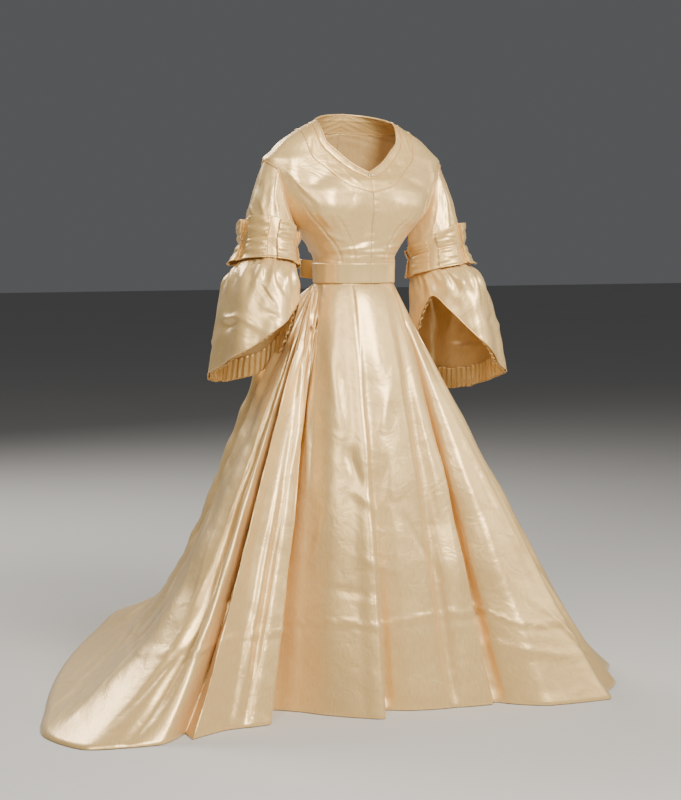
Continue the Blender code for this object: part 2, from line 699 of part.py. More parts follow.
def make_sleeve(side, word, satin, band_satin):
    """One sleeve: upper sleeve, pleated band, flounce and inner frill, each in two halves."""
    longer = LEFT_FLOUNCE_LONGER if side > 0 else 0.0
    ends = ("first_column", "last_column")
    down = armhole_shares() * 180
    grid = upper_sleeve_grid(np.concatenate([down, 360 - down[-2::-1]]))
    add_halves("sleeve_upper", word, side, grid, satin, downwards=True, level_row=-1,
               edges=ends + ("last_row",))
    shares = (0.0, 0.09, 0.19, 0.33, 0.53, 0.76, 1.0)
    grid = flounce_grid(np.linspace(0, 360, 33), shares, longer)
    add_halves("flounce", word, side, grid, satin, downwards=True, level_row=0, edges=ends)
    grid = frill_grid(np.linspace(0, 360, FRILL_PLEATS * 2 + 1), longer)
    add_halves("frill", word, side, grid, band_satin, downwards=True, thickness=0.001,
               edges=ends)
    grid = sleeve_band_grid(band_angles())
    add_halves("sleeve_band", word, side, grid, band_satin, edges=ends)


def fold_column(name):
    """One named column of the fold table."""
    return FOLDS[:, FOLD_NAMES.index(name)]


def skirt_columns():
    """Place of every column of the skirt along the fold table, in rows of the table."""
    places = []
    for row, steps in enumerate(fold_column("columns").astype(int)):
        places.extend(row + np.arange(steps) / max(steps, 1))
    return np.array(places + [len(FOLDS) - 1.0])


def skirt_grid(places, shares):
    """Skirt and train: straight folds from the waist out to a folded hem on the floor.

    A point's share of the drop, raised to the fold's flare, is its share of the way out. The
    swell pushes a ridge out or a valley in, most of all a quarter of the way down.
    """
    rows = np.arange(len(FOLDS))
    value = {name: smooth(rows, fold_column(name), places) for name in FOLD_NAMES[:-1]}
    corner = np.radians(fold_column("hem_turn"))
    hem_x = smooth(rows, fold_column("hem_reach") * np.sin(corner), places)
    hem_y = smooth(rows, -fold_column("hem_reach") * np.cos(corner), places)
    waist = torso(value["waist_turn"], np.full(len(places), FLARE_HEIGHT))
    out = np.stack([hem_x - waist[:, 0], hem_y - waist[:, 1]], -1)
    reach = np.linalg.norm(out, axis=1, keepdims=True)
    way = out / reach
    spring = smooth(SPRING[:, 0], SPRING[:, 1], np.abs(value["waist_turn"]))[:, None]
    back = np.clip((np.abs(value["waist_turn"]) - BACK_GATHER_START) / BACK_GATHER_FADE,
                   0, 1)
    period = (180 - BACK_GATHER_START) * 2 / BACK_GATHERS
    gather = (BACK_GATHER_DEPTH * back
              * np.cos(2 * np.pi * (180 - np.abs(value["waist_turn"])) / period))[:, None]
    grid = [np.concatenate([waist[:, :2], np.full((len(places), 1), WAIST_SEAM)], 1)]
    for share in shares:
        flared = (share ** value["flare"] * (1 - value["train"])
                  + share ** TRAIN_BEND * value["train"])[:, None]
        sprung = spring * (1 - np.exp(-share / SPRING_DROP))
        gathered = 4 * np.sqrt(share) * (1 - np.sqrt(share))
        swell = value["swell"] * 4 * share * (1 - share)
        at = sprung + (reach - sprung) * flared
        at = at + swell[:, None] + gather * gathered ** 0.8
        height = FLARE_HEIGHT + share * (HEM_LIFT - FLARE_HEIGHT)
        flat = waist[:, :2] + way * at
        grid.append(np.concatenate([flat, np.full((len(places), 1), height)], 1))
    return np.array(grid)


def make_skirt(material):
    """Skirt front, sides and backs, cut from one folded surface at their seams."""
    places = skirt_columns()
    grid = skirt_grid(places, DROP_SHARES)
    normal = ring_normals(grid, -1.0)
    for name, start, end in SKIRT_PANELS:
        first = int(np.argmin(np.abs(places - start)))
        last = int(np.argmin(np.abs(places - end)))
        columns = slice(first, last + 1)
        add_wall(name, grid[:, columns], normal[:, columns], material,
                 edges=("first_row", "first_column", "last_column"))


def belt_grid():
    """Points under half the belt, centre front to centre back, and their turns."""
    halves = []
    turns = []
    for back in (False, True):
        patch = bodice_patch(back)[:2]
        seam, above = torso(patch[..., 0], patch[..., 1])
        share = (BELT_TOP - WAIST_SEAM) / (above[:, 2:] - WAIST_SEAM)
        below = seam + np.array((0.0, 0.0, BELT_BOTTOM - WAIST_SEAM))
        half = np.array([below, seam, seam + (above - seam) * share])
        halves.append(half[:, ::-1] if back else half)
        turns.append(patch[0, ::-1, 0] if back else patch[0, :, 0])
    grid = np.concatenate([halves[0], halves[1][:, 1:]], axis=1)
    return grid, np.concatenate([turns[0], turns[1][1:]])


def make_belt(material):
    """Ribbon belt in a right and a left half, meeting at the centre front and back."""
    grid, turn = belt_grid()
    normal = torso_normal(turn, np.full(len(turn), WAIST_SEAM))[None] + 0 * grid
    for side, word in ((1, "left"), (-1, "right")):
        add_wall(f"belt_{word}", mirrored(grid, side), mirrored(normal, side), material,
                 lift=BELT_CLEARANCE + RIBBON, thickness=RIBBON,
                 edges=("first_column", "last_column"))


def ribbon_strip(x, y, height, levels=3):
    """A ribbon standing on edge along a path in plan, centred on the belt's height."""
    middle = (BELT_TOP + BELT_BOTTOM) / 2
    rows = [np.stack([x, y, np.full(len(x), middle + k * height / 2)], -1)
            for k in np.linspace(-1, 1, levels)]
    return np.array(rows)


def make_bow(material):
    """Flat bow at the centre back: two open loops and the knot between them."""
    back = (smooth(TORSO[:, 0], TORSO[:, 3], BELT_TOP) + BELT_CLEARANCE + RIBBON
            + SEAM_GAP)
    start = KNOT_WIDTH / 2 - BOW_GAP
    a = np.radians(np.linspace(-172, 172, 17))
    x = start + BOW_LOOP_LENGTH * (0.5 + 0.5 * np.cos(a))
    full = np.sin(np.clip(np.abs(a), 0, np.pi)) ** 0.7 * 0.5 + 0.12
    y = back + BOW_LOOP_DEPTH * (0.62 + np.sign(a) * full * 0.95)
    grid = ribbon_strip(x, y, BOW_HEIGHT)
    for side, word in ((1, "left"), (-1, "right")):
        add_wall(f"bow_loop_{word}", mirrored(grid, side), mirrored(normals(grid, 1.0), side),
                 material, thickness=RIBBON)
    a = np.radians(np.linspace(0, 180, 13))
    x = KNOT_WIDTH / 2 * rounded(np.cos(a))
    y = back + BOW_GAP + KNOT_DEPTH * rounded(np.sin(a))
    knot = ribbon_strip(x, y, KNOT_HEIGHT)
    add_wall("bow_knot", knot, normals(knot, 1.0), material, thickness=RIBBON)


def make_clasp(material):
    """Small hook bar that closes the neck band at the centre front."""
    patch = neck_band_patch()
    row = int(round(CLASP_SHARE * (len(patch) - 1)))
    centre = torso(patch[row, 0, 0], patch[row, 0, 1])
    out = torso_normal(patch[row, 0, 0], patch[row, 0, 1])
    x = np.linspace(-CLASP_WIDTH / 2, CLASP_WIDTH / 2, 7)
    arch = 0.0012 * np.cos(np.pi * x / CLASP_WIDTH)
    path = centre + np.stack([x, 0 * x, 0 * x], -1)
    path = path + out * (CLASP_RADIUS + 0.0006 + arch[:, None])
    add_tube("neck_clasp", path, np.tile(out, (len(x), 1)), CLASP_RADIUS, material)


def make_dress():
    """Build every piece of the dress."""
    for thing in list(bpy.data.objects):
        bpy.data.objects.remove(thing, do_unlink=True)
    satin = cloth_material("ivory_satin", 0.78, 0.62, 0.42, 0.38)
    band_satin = cloth_material("pleated_satin", 0.76, 0.60, 0.42, 0.42)
    cord = cloth_material("satin_covered_cord", 0.74, 0.58, 0.38, 0.40)
    ribbon = cloth_material("satin_ribbon", 0.80, 0.64, 0.44, 0.32)
    beads = cloth_material("silvered_hook", 0.90, 0.88, 0.82, 0.15)
    make_bodice(satin)
    make_neck(band_satin, cord)
    for side, word in ((1, "left"), (-1, "right")):
        make_sleeve(side, word, satin, band_satin)
    make_clasp(beads)
    make_skirt(satin)
    make_belt(ribbon)
    make_bow(ribbon)


make_dress()
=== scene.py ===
"""Satin wedding dress with bell sleeves, a belt with a back bow, and a train, for looks.

Every piece is a sheet of cloth worked out on a grid: the form that the dress hangs in, with its
creases, darts, pleats and gathers moved in or out along the cloth's normal. Heights in the
tables are metres above the hem, and a turn is an angle in degrees round the body: 0 at the
centre front, +90 at the wearer's left side, 180 at the centre back. Front is -Y.
"""

import bmesh
import bpy
import numpy as np
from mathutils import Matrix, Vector


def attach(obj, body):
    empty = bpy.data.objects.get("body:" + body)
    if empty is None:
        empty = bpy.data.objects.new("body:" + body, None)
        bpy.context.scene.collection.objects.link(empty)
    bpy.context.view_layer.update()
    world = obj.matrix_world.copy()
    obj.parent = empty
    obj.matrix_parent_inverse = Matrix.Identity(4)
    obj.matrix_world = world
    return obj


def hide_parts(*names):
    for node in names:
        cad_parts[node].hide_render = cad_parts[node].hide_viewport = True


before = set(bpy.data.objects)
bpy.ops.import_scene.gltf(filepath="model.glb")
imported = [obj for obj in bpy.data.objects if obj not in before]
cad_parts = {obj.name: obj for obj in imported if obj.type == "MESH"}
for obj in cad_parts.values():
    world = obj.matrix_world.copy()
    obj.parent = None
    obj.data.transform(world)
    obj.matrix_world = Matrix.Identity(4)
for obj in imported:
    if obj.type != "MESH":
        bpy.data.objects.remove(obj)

bl_info = {
    "name": "Satin wedding dress",
    "version": (1, 0, 0),
    "blender": (4, 5, 0),
    "location": "3D View > Sidebar > Dress",
    "description": "Makes each piece of a satin wedding dress with bell sleeves and a train",
    "category": "Object",
}

SHOULDER_HEIGHT = 1.334
CLOTH = 0.002

# Torso sections: what the bodice is cut to.
WAIST_SEAM = 0.996
TORSO_ROUNDNESS = 0.88
TORSO = np.array([
    # height, half width, front depth, back depth
    (0.960, 0.0965, 0.0880, 0.0720),
    (0.996, 0.0965, 0.0880, 0.0720),
    (1.030, 0.0990, 0.0910, 0.0765),
    (1.060, 0.1150, 0.0950, 0.0830),
    (1.100, 0.1500, 0.1000, 0.0920),
    (1.140, 0.1870, 0.1040, 0.1000),
    (1.185, 0.2090, 0.1030, 0.1040),
    (1.210, 0.2190, 0.0950, 0.1040),
    (1.235, 0.2330, 0.0800, 0.1010),
    (1.262, 0.2340, 0.0660, 0.0940),
    (1.285, 0.2120, 0.0560, 0.0870),
    (1.308, 0.1880, 0.0470, 0.0790),
    (1.334, 0.1470, 0.0380, 0.0690),
    (1.355, 0.1050, 0.0300, 0.0600),
    (1.375, 0.0700, 0.0250, 0.0540),
])
BUST_TURN = 40.0
BUST_HEIGHT = 1.150
BUST_FULLNESS = 0.012
BUST_SPREAD_TURN = 20.0
BUST_SPREAD_HEIGHT = 0.045
BUST_OUTWARD = 0.4

# Neck band: its outer edge is the bodice's neck seam, its inner edge is the neckline.
NECK_FRONT = np.array([
    # outer half width, outer height, inner half width, inner height
    (0.0000, 1.185, 0.0000, 1.231),
    (0.0560, 1.202, 0.0400, 1.253),
    (0.1040, 1.240, 0.0740, 1.283),
    (0.1360, 1.273, 0.0970, 1.308),
    (0.1470, 1.334, 0.1050, 1.355),
])
NECK_BACK = np.array([
    (0.0000, 1.330, 0.0000, 1.373),
    (0.0500, 1.328, 0.0400, 1.371),
    (0.0900, 1.327, 0.0700, 1.367),
    (0.1250, 1.328, 0.0920, 1.361),
    (0.1470, 1.334, 0.1050, 1.355),
])
NECK_PIPING_RADIUS = 0.0022

# Where a bodice panel's corners lie: shares of its height, and of the way along the neck seam.
CENTRE_TOP = 0.45
UNDERARM_ROW = 0.30
TIP_ROW = 0.75
NECK_SIDE_SHARE = 0.95

# Armhole, from the tip of the shoulder down to the underarm.
UNDERARM_HEIGHT = 1.100
SHOULDER_TIP_HEIGHT = 1.262
ARMHOLE = np.array([
    # share of the way, height, turn of the front edge, turn of the back edge from the back
    (0.00, 1.262, 90.0, 90.0),
    (0.25, 1.235, 66.0, 66.0),
    (0.38, 1.210, 70.0, 68.0),
    (0.50, 1.185, 72.0, 70.0),
    (0.74, 1.140, 77.0, 76.0),
    (1.00, 1.100, 90.0, 90.0),
])
SLEEVE_START_INSIDE = 0.0035
SLEEVE_PUFF = 0.006

# Sleeve: a ring under the band, tilted so that its outer side is higher.
BAND_CENTRE = np.array((0.2280, -0.004, 1.072))
BAND_HALF_WIDTH = 0.0615
BAND_HALF_LENGTH = 0.0730
BAND_TILT_OUTSIDE = 0.0115
BAND_TILT_FRONT = 0.0165
BAND_RISE = 0.0370
BAND_RISE_OUTSIDE = 0.0150
BAND_RISE_FRONT = 0.0100
BAND_DROP = 0.0460
BAND_CLEARANCE = 0.0013
BAND_PLEATS = 6
PLEAT_DEPTH_RIM = 0.0100
PLEAT_DEPTH_MIDDLE = 0.0035
PLEAT_DEPTH_INSIDE = 0.45
BAND_RIM_SPREAD = 0.0030

# Flounce: half sizes of its hem about its centre, and how it opens with the drop.
FLOUNCE_START = 0.0003
FLOUNCE_CENTRE = np.array((0.2830, -0.027))
FLOUNCE_OUTER = 0.0930
FLOUNCE_INNER = 0.1100
FLOUNCE_FRONT = 0.1440
FLOUNCE_BACK = 0.1450
FLOUNCE_OPENING = np.array([
    # drop below the band's middle, share of the full opening
    (0.000, 0.00),
    (0.040, 0.03),
    (0.052, 0.16),
    (0.066, 0.33),
    (0.090, 0.50),
    (0.140, 0.68),
    (0.210, 0.85),
    (0.300, 1.00),
    (0.400, 1.06),
])
HEM_ANGLES = np.array((-30.0, 0.0, 45.0, 90.0, 130.0, 150.0, 172.0, 200.0, 235.0, 270.0, 300.0,
                       330.0))
RIGHT_HEM = np.array((0.757, 0.780, 0.824, 0.878, 0.926, 0.938, 0.890, 0.810, 0.754, 0.738,
                      0.740, 0.748))
LEFT_HEM = np.array((0.712, 0.728, 0.762, 0.822, 0.905, 0.940, 0.905, 0.820, 0.742, 0.706,
                     0.703, 0.708))
FLOUNCE_FOLDS = np.array([
    # angle round the sleeve, swell at the hem
    (-20.0, 0.000),
    (10.0, -0.008),
    (35.0, 0.006),
    (62.0, -0.010),
    (95.0, 0.008),
    (120.0, -0.006),
    (150.0, 0.003),
    (180.0, -0.004),
    (215.0, 0.006),
    (245.0, -0.010),
    (275.0, 0.010),
    (305.0, -0.008),
    (340.0, 0.000),
])
FLOUNCE_GATHERS = 14
GATHER_DEPTH = 0.0035
GATHER_DROP = 0.085
GATHER_SPREAD = 0.020
LEFT_BAND_LOWER = 0.028
RIGHT_BAND_LOWER = 0.010
FRILL_PLEATS = 54
FRILL_HEIGHT = 0.050
FRILL_DEPTH = 0.0035
FRILL_SHOWS = 0.002
FRILL_LINE = 0.02
FRILL_INSET = 0.0034
FRILL_RAGGED = 0.0010
FRILL_THICKNESS = 0.0006
FLOUNCE_CORD_RADIUS = 0.0016

# Ribbon belt and the flat bow on it, standing out at the centre back.
BELT_TOP = 1.019
BELT_BOTTOM = 0.972
BELT_CLEARANCE = 0.0010
BELT_MIDDLE = (BELT_TOP + BELT_BOTTOM) / 2
BELT_EDGE = 0.0012
BELT_LIFT = 0.0021
RIBBON = 0.0015
RIBBON_THICKNESS = 0.0010
BOW_LOOP_LENGTH = 0.078
BOW_LOOP_DEPTH = 0.026
BOW_HEIGHT = 0.043
BOW_RISE = 0.010
BOW_CLEARANCE = 0.0003
BOW_CREASE = 0.0022
KNOT_WIDTH = 0.034
KNOT_DEPTH = 0.034
KNOT_HEIGHT = 0.046
KNOT_FOLD = 0.0010
KNOT_HOLLOW = 0.0015
BOW_GAP = 0.0006

# Skirt: one row for each ridge, valley or tuck, all the way round from the centre back.
FLARE_HEIGHT = 0.970
HEM_LIFT = 0.0024
FOLD_NAMES = ("waist_turn", "hem_turn", "hem_reach", "flare", "train", "swell")
FOLDS = np.array([
    # waist turn, hem turn, hem reach, flare, share lying out as train, swell
    (-180.0, -182.0, 1.285, 1.00, 0.34, 0.000),
    (-169.0, -172.0, 1.150, 1.00, 0.36, 0.000),
    (-158.0, -161.0, 0.963, 1.00, 0.36, 0.000),
    (-147.0, -143.0, 0.802, 1.00, 0.36, 0.000),
    (-136.0, -118.0, 0.728, 1.00, 0.36, 0.000),
    (-125.0, -93.5, 0.775, 1.00, 0.34, 0.000),
    (-119.0, -77.0, 0.885, 1.00, 0.30, 0.004),
    (-116.0, -67.5, 0.890, 1.00, 0.28, 0.000),
    (-113.5, -63.8, 0.830, 1.00, 0.20, -0.014),
    (-110.0, -60.6, 0.765, 0.98, 0.10, 0.008),
    (-104.5, -62.0, 0.655, 0.98, 0.07, -0.012),
    (-98.5, -58.0, 0.690, 0.95, 0.05, 0.008),
    (-94.0, -56.0, 0.572, 1.00, 0.00, 0.002),
    (-89.5, -52.6, 0.532, 0.98, 0.00, -0.004),
    (-85.0, -49.8, 0.496, 1.00, 0.00, -0.006),
    (-78.0, -58.5, 0.374, 0.92, 0.00, 0.000),
    (-73.5, -49.5, 0.359, 0.80, 0.00, 0.000),
    (-60.0, -36.5, 0.376, 0.80, 0.00, 0.003),
    (-40.0, -25.0, 0.398, 0.84, 0.00, -0.003),
    (-26.0, -18.1, 0.411, 0.86, 0.00, 0.002),
    (-21.0, -15.0, 0.332, 0.71, 0.00, 0.000),
    (-4.0, -5.0, 0.350, 0.73, 0.00, 0.002),
    (12.0, 5.2, 0.366, 0.76, 0.00, 0.002),
    (24.0, 11.0, 0.376, 0.78, 0.00, -0.010),
    (36.0, 17.0, 0.394, 0.82, 0.00, 0.004),
    (46.0, 22.8, 0.414, 0.87, 0.00, 0.008),
    (52.5, 26.0, 0.408, 0.91, 0.00, -0.014),
    (58.5, 28.0, 0.465, 0.98, 0.00, 0.000),
    (62.5, 32.5, 0.540, 1.00, 0.02, 0.008),
    (67.5, 42.8, 0.633, 1.00, 0.04, 0.006),
    (73.0, 50.7, 0.622, 1.02, 0.06, -0.016),
    (79.0, 59.7, 0.640, 1.03, 0.08, 0.012),
    (85.0, 70.0, 0.640, 1.04, 0.10, -0.016),
    (91.5, 80.0, 0.680, 1.04, 0.16, 0.012),
    (98.0, 88.0, 0.680, 1.04, 0.20, -0.016),
    (105.0, 95.0, 0.710, 1.02, 0.24, 0.010),
    (114.0, 105.0, 0.720, 1.00, 0.28, 0.000),
    (125.0, 117.0, 0.785, 1.00, 0.32, 0.000),
    (136.0, 132.0, 0.910, 1.00, 0.34, 0.000),
    (147.0, 146.0, 1.060, 1.00, 0.34, 0.000),
    (158.0, 157.5, 1.190, 1.00, 0.34, 0.000),
    (169.0, 168.0, 1.280, 1.00, 0.34, 0.000),
    (180.0, 178.0, 1.285, 1.00, 0.34, 0.000),
])
TRAIN_BEND = 8.0
SPRING = np.array([
    # distance of the waist turn from the front, how far the cloth springs out under the belt
    (0.0, 0.000),
    (60.0, 0.000),
    (90.0, 0.002),
    (112.0, 0.006),
    (122.0, 0.022),
    (134.0, 0.052),
    (150.0, 0.066),
    (180.0, 0.070),
])
SPRING_DROP = 0.060
BACK_GATHERS = 12
BACK_GATHER_DEPTH = 0.012
BACK_GATHER_START = 114.0
BACK_GATHER_FADE = 8.0
# Unevenness of each cloth: its height, the size of one wave in metres, the seed of its draws.
UNEVENNESS = {
    "bodice": (0.0004, 0.045, 3),
    "neck band": (0.0003, 0.030, 7),
    "upper sleeve": (0.0006, 0.050, 11),
    "flounce": (0.0007, 0.055, 13),
    "skirt, broad": (0.0014, 0.220, 5),
    "skirt, fine": (0.0003, 0.070, 6),
    "train, broad": (0.0014, 0.170, 8),
    "train, fine": (0.0005, 0.080, 9),
}
SKIRT_PANELS = (
    # node, where its first seam is in the fold table, where its last seam is
    ("skirt_back_right", 0, 4.75),
    ("skirt_side_right", 4.75, 15),
    ("skirt_front", 15, 26),
    ("skirt_side_left", 26, 37.25),
    ("skirt_back_left", 37.25, 42),
)


def smooth(knots, values, at):
    """Cubic curve through a table's points that never overshoots them."""
    knots = np.asarray(knots, float)
    values = np.asarray(values, float)
    step = np.diff(knots)
    slope = np.diff(values) / step
    both = slope[:-1] * slope[1:]
    total = slope[:-1] + slope[1:]
    middle = np.where(both > 0, 2 * both / np.where(both > 0, total, 1), 0)
    tangent = np.concatenate([slope[:1], middle, slope[-1:]])
    at = np.clip(at, knots[0], knots[-1])
    i = np.clip(np.searchsorted(knots, at, side="right") - 1, 0, len(step) - 1)
    t = (at - knots[i]) / step[i]
    a = values[i]
    b = values[i + 1]
    ta = tangent[i] * step[i]
    tb = tangent[i + 1] * step[i]
    return (a * (1 + 2 * t) * (1 - t) ** 2 + ta * t * (1 - t) ** 2
            + b * t * t * (3 - 2 * t) + tb * t * t * (t - 1))


def rounded(value):
    """Sine or cosine made squarer, as a chest is squarer than an ellipse."""
    return np.sign(value) * np.abs(value) ** TORSO_ROUNDNESS


def torso(turn, height):
    """Points of the torso at the turns and heights given."""
    a = np.radians(turn)
    wide = smooth(TORSO[:, 0], TORSO[:, 1], height)
    front = smooth(TORSO[:, 0], TORSO[:, 2], height)
    back = smooth(TORSO[:, 0], TORSO[:, 3], height)
    x = wide * rounded(np.sin(a))
    y = -np.where(np.cos(a) > 0, front, back) * rounded(np.cos(a))
    full = BUST_FULLNESS * np.exp(-((np.abs(turn) - BUST_TURN) / BUST_SPREAD_TURN) ** 2
                                  - ((height - BUST_HEIGHT) / BUST_SPREAD_HEIGHT) ** 2)
    return np.stack([x + BUST_OUTWARD * full * np.sign(x), y - full, height + 0 * x], axis=-1)


def torso_normal(turn, height):
    """Outward direction of the torso's cloth, the same for every piece that meets there."""
    step_turn = 2.0
    step_height = 0.004
    around = torso(turn + step_turn, height) - torso(turn - step_turn, height)
    up = torso(turn, height + step_height) - torso(turn, height - step_height)
    n = np.cross(around, up)
    return n / np.linalg.norm(n, axis=-1, keepdims=True)


def turn_at(half_width, height):
    """Turn of the torso's point with this half width at this height."""
    wide = smooth(TORSO[:, 0], TORSO[:, 1], height)
    ratio = np.clip(half_width / wide, 0, 1)
    return np.degrees(np.arcsin(ratio ** (1 / TORSO_ROUNDNESS)))


def directions(grid, axis):
    """Direction of the cloth at each point along rows or columns, midway between its steps."""
    step = np.diff(grid, axis=axis)
    length = np.linalg.norm(step, axis=-1, keepdims=True)
    step = step / np.where(length > 1e-9, length, 1)
    first = np.take(step, [0], axis=axis)
    last = np.take(step, [-1], axis=axis)
    return np.concatenate([first, step], axis=axis) + np.concatenate([step, last], axis=axis)


def normals(grid, outward):
    """Unit normals of a grid of points; outward is +1 or -1."""
    n = np.cross(directions(grid, 1), directions(grid, 0)) * outward
    length = np.linalg.norm(n, axis=-1, keepdims=True)
    return n / np.where(length > 1e-12, length, 1)


def ring_normals(grid, outward):
    """Unit normals of a grid whose last column meets its first."""
    around = np.concatenate([grid[:, -2:-1], grid, grid[:, 1:2]], axis=1)
    return normals(around, outward)[:, 1:-1]


def mirrored(grid, side):
    """The grid itself for side +1, its mirror image in X for side -1."""
    return grid * np.array((side, 1.0, 1.0))


def grid_between(bottom, top, first, last, u, v):
    """Patch between four edge curves that meet at their corners, at shares u and v."""
    u = u[None, :, None]
    v = v[:, None, None]
    corners = ((1 - u) * (1 - v) * bottom[0] + u * (1 - v) * bottom[-1]
               + (1 - u) * v * top[0] + u * v * top[-1])
    return ((1 - v) * bottom[None] + v * top[None]
            + (1 - u) * first[:, None] + u * last[:, None] - corners)


def armhole_turns(share, back):
    """Turn and height of the armhole's edge at a share of the way down from the shoulder."""
    height = smooth(ARMHOLE[:, 0], ARMHOLE[:, 1], share)
    turn = smooth(ARMHOLE[:, 0], ARMHOLE[:, 3 if back else 2], share)
    return (180 - turn if back else turn), height


def neck_edge(table, share, inner, back):
    """Turn and height of a neck band edge; share 0 at the centre, 1 at the shoulder."""
    column = 2 if inner else 0
    rows = np.linspace(0, 1, len(table))
    width = smooth(rows, table[:, column], share)
    height = smooth(rows, table[:, column + 1], share)
    turn = np.where(share >= 1, 90.0, turn_at(width, height))
    return (180 - turn if back else turn), height


def band_ring(angle, lower):
    """The sleeve's seam under the middle of the band, on the wearer's left, lower by some metres."""
    a = np.radians(angle)
    tilt = BAND_TILT_OUTSIDE * np.cos(a) + BAND_TILT_FRONT * np.sin(a)
    return BAND_CENTRE + np.stack([BAND_HALF_WIDTH * np.cos(a), -BAND_HALF_LENGTH * np.sin(a),
                                   tilt - lower], -1)


def armhole_place(angle):
    """Turn and height of the armhole's edge for an angle round the sleeve, 0 at the shoulder tip."""
    a = np.mod(angle, 360)
    front = a <= 180
    share = np.where(front, a, 360 - a) / 180
    front_turn, height = armhole_turns(share, False)
    back_turn, _ = armhole_turns(share, True)
    return np.where(front, front_turn, back_turn), height


def armhole_ring(angle):
    """The armhole's point for an angle round the sleeve."""
    return torso(*armhole_place(angle))


def armhole_out(angle):
    """Outward direction of the bodice's cloth at the armhole."""
    return torso_normal(*armhole_place(angle))


def upper_sleeve(angles, share, lower):
    """Points of the sleeve from the armhole (share 0) to the seam under the band (share 1)."""
    top = armhole_ring(angles)
    low = band_ring(angles, lower)
    a = np.radians(angles)
    puff = np.stack([np.cos(a), -np.sin(a), 0 * a], -1) * SLEEVE_PUFF
    share = np.asarray(share)[..., None]
    return top * (1 - share) + low * share + puff * np.sin(np.pi * share)


def flounce(angles, drop, gathered, lower):
    """Points of the bell flounce at a drop below the seam: a ring that opens as it falls."""
    ring = band_ring(angles, lower)
    opening = smooth(FLOUNCE_OPENING[:, 0], FLOUNCE_OPENING[:, 1], drop)
    a = np.radians(angles)
    reach_x = np.where(np.cos(a) > 0, FLOUNCE_OUTER, FLOUNCE_INNER)
    reach_y = np.where(np.sin(a) > 0, FLOUNCE_FRONT, FLOUNCE_BACK)
    swell = opening ** 2 * smooth(FLOUNCE_FOLDS[:, 0], FLOUNCE_FOLDS[:, 1],
                                  np.mod(angles + 20, 360) - 20)
    if gathered:
        swell = swell + (GATHER_DEPTH * np.cos(a * FLOUNCE_GATHERS)
                         * np.exp(-((drop - GATHER_DROP) / GATHER_SPREAD) ** 2))
    centre = BAND_CENTRE[:2] + (FLOUNCE_CENTRE - BAND_CENTRE[:2]) * opening[..., None]
    x = centre[..., 0] + np.cos(a) * (BAND_HALF_WIDTH + swell
                                      + (reach_x - BAND_HALF_WIDTH) * opening)
    y = centre[..., 1] - np.sin(a) * (BAND_HALF_LENGTH + swell
                                      + (reach_y - BAND_HALF_LENGTH) * opening)
    return np.stack([x, y, ring[..., 2] - drop], -1)


def fold_column(name):
    """One named column of the fold table."""
    return FOLDS[:, FOLD_NAMES.index(name)]


def skirt_grid(places, shares):
    """Skirt and train: straight folds from the waist out to a folded hem on the floor.

    A point's share of the drop, raised to the fold's flare, is its share of the way out. The
    swell pushes a ridge out or a valley in, most of all a quarter of the way down.
    """
    rows = np.arange(len(FOLDS))
    value = {name: smooth(rows, fold_column(name), places) for name in FOLD_NAMES}
    corner = np.radians(fold_column("hem_turn"))
    hem_x = smooth(rows, fold_column("hem_reach") * np.sin(corner), places)
    hem_y = smooth(rows, -fold_column("hem_reach") * np.cos(corner), places)
    waist = torso(value["waist_turn"], np.full(len(places), FLARE_HEIGHT))
    out = np.stack([hem_x - waist[:, 0], hem_y - waist[:, 1]], -1)
    reach = np.linalg.norm(out, axis=1, keepdims=True)
    way = out / reach
    spring = smooth(SPRING[:, 0], SPRING[:, 1], np.abs(value["waist_turn"]))[:, None]
    back = np.clip((np.abs(value["waist_turn"]) - BACK_GATHER_START) / BACK_GATHER_FADE,
                   0, 1)
    period = (180 - BACK_GATHER_START) * 2 / BACK_GATHERS
    gather = (BACK_GATHER_DEPTH * back
              * np.cos(2 * np.pi * (180 - np.abs(value["waist_turn"])) / period))[:, None]
    grid = [np.concatenate([waist[:, :2], np.full((len(places), 1), WAIST_SEAM)], 1)]
    for share in shares:
        flared = (share ** value["flare"] * (1 - value["train"])
                  + share ** TRAIN_BEND * value["train"])[:, None]
        sprung = spring * (1 - np.exp(-share / SPRING_DROP))
        gathered = 4 * np.sqrt(share) * (1 - np.sqrt(share))
        swell = value["swell"] * 4 * share * (1 - share)
        at = sprung + (reach - sprung) * flared
        at = at + swell[:, None] + gather * gathered ** 0.8
        height = FLARE_HEIGHT + share * (HEM_LIFT - FLARE_HEIGHT)
        flat = waist[:, :2] + way * at
        grid.append(np.concatenate([flat, np.full((len(places), 1), height)], 1))
    return np.array(grid)


def linear(code):
    """The linear red, green and blue of an sRGB hex colour."""
    value = np.array([int(code[k:k + 2], 16) for k in (0, 2, 4)]) / 255
    bent = np.where(value <= 0.04045, value / 12.92, ((value + 0.055) / 1.055) ** 2.4)
    return tuple(float(v) for v in bent)


def bumps(across, down, table):
    """Creases listed one by one: each is a long soft hump or trough with fading ends.

    Along a crease the height falls as exp(-(a / half length)^2), across it as
    exp(-(b / half width)^2), where a and b are metres from its middle.
    """
    total = np.zeros(np.broadcast(across, down).shape)
    for x, y, half_length, half_width, tilt, height in table:
        a = np.radians(tilt)
        dx = across - x
        dy = down - y
        along = (np.cos(a) * dy + np.sin(a) * dx) / half_length
        beside = (np.cos(a) * dx - np.sin(a) * dy) / half_width
        total = total + height * np.exp(-along ** 2 - beside ** 2)
    return total


def unevenness(across, down, size, seed):
    """Soft uneven field about 1 high: fourteen crossing waves, each about one size long."""
    rng = np.random.default_rng(seed)
    field = np.zeros(np.broadcast(across, down).shape)
    for turn, phase, stretch in rng.uniform((0, 0, 0.7), (2 * np.pi, 2 * np.pi, 1.5), (14, 3)):
        way = np.cos(turn) * across + np.sin(turn) * down
        field += np.cos(2 * np.pi * way / (size * stretch) + phase)
    return field / 14 ** 0.5


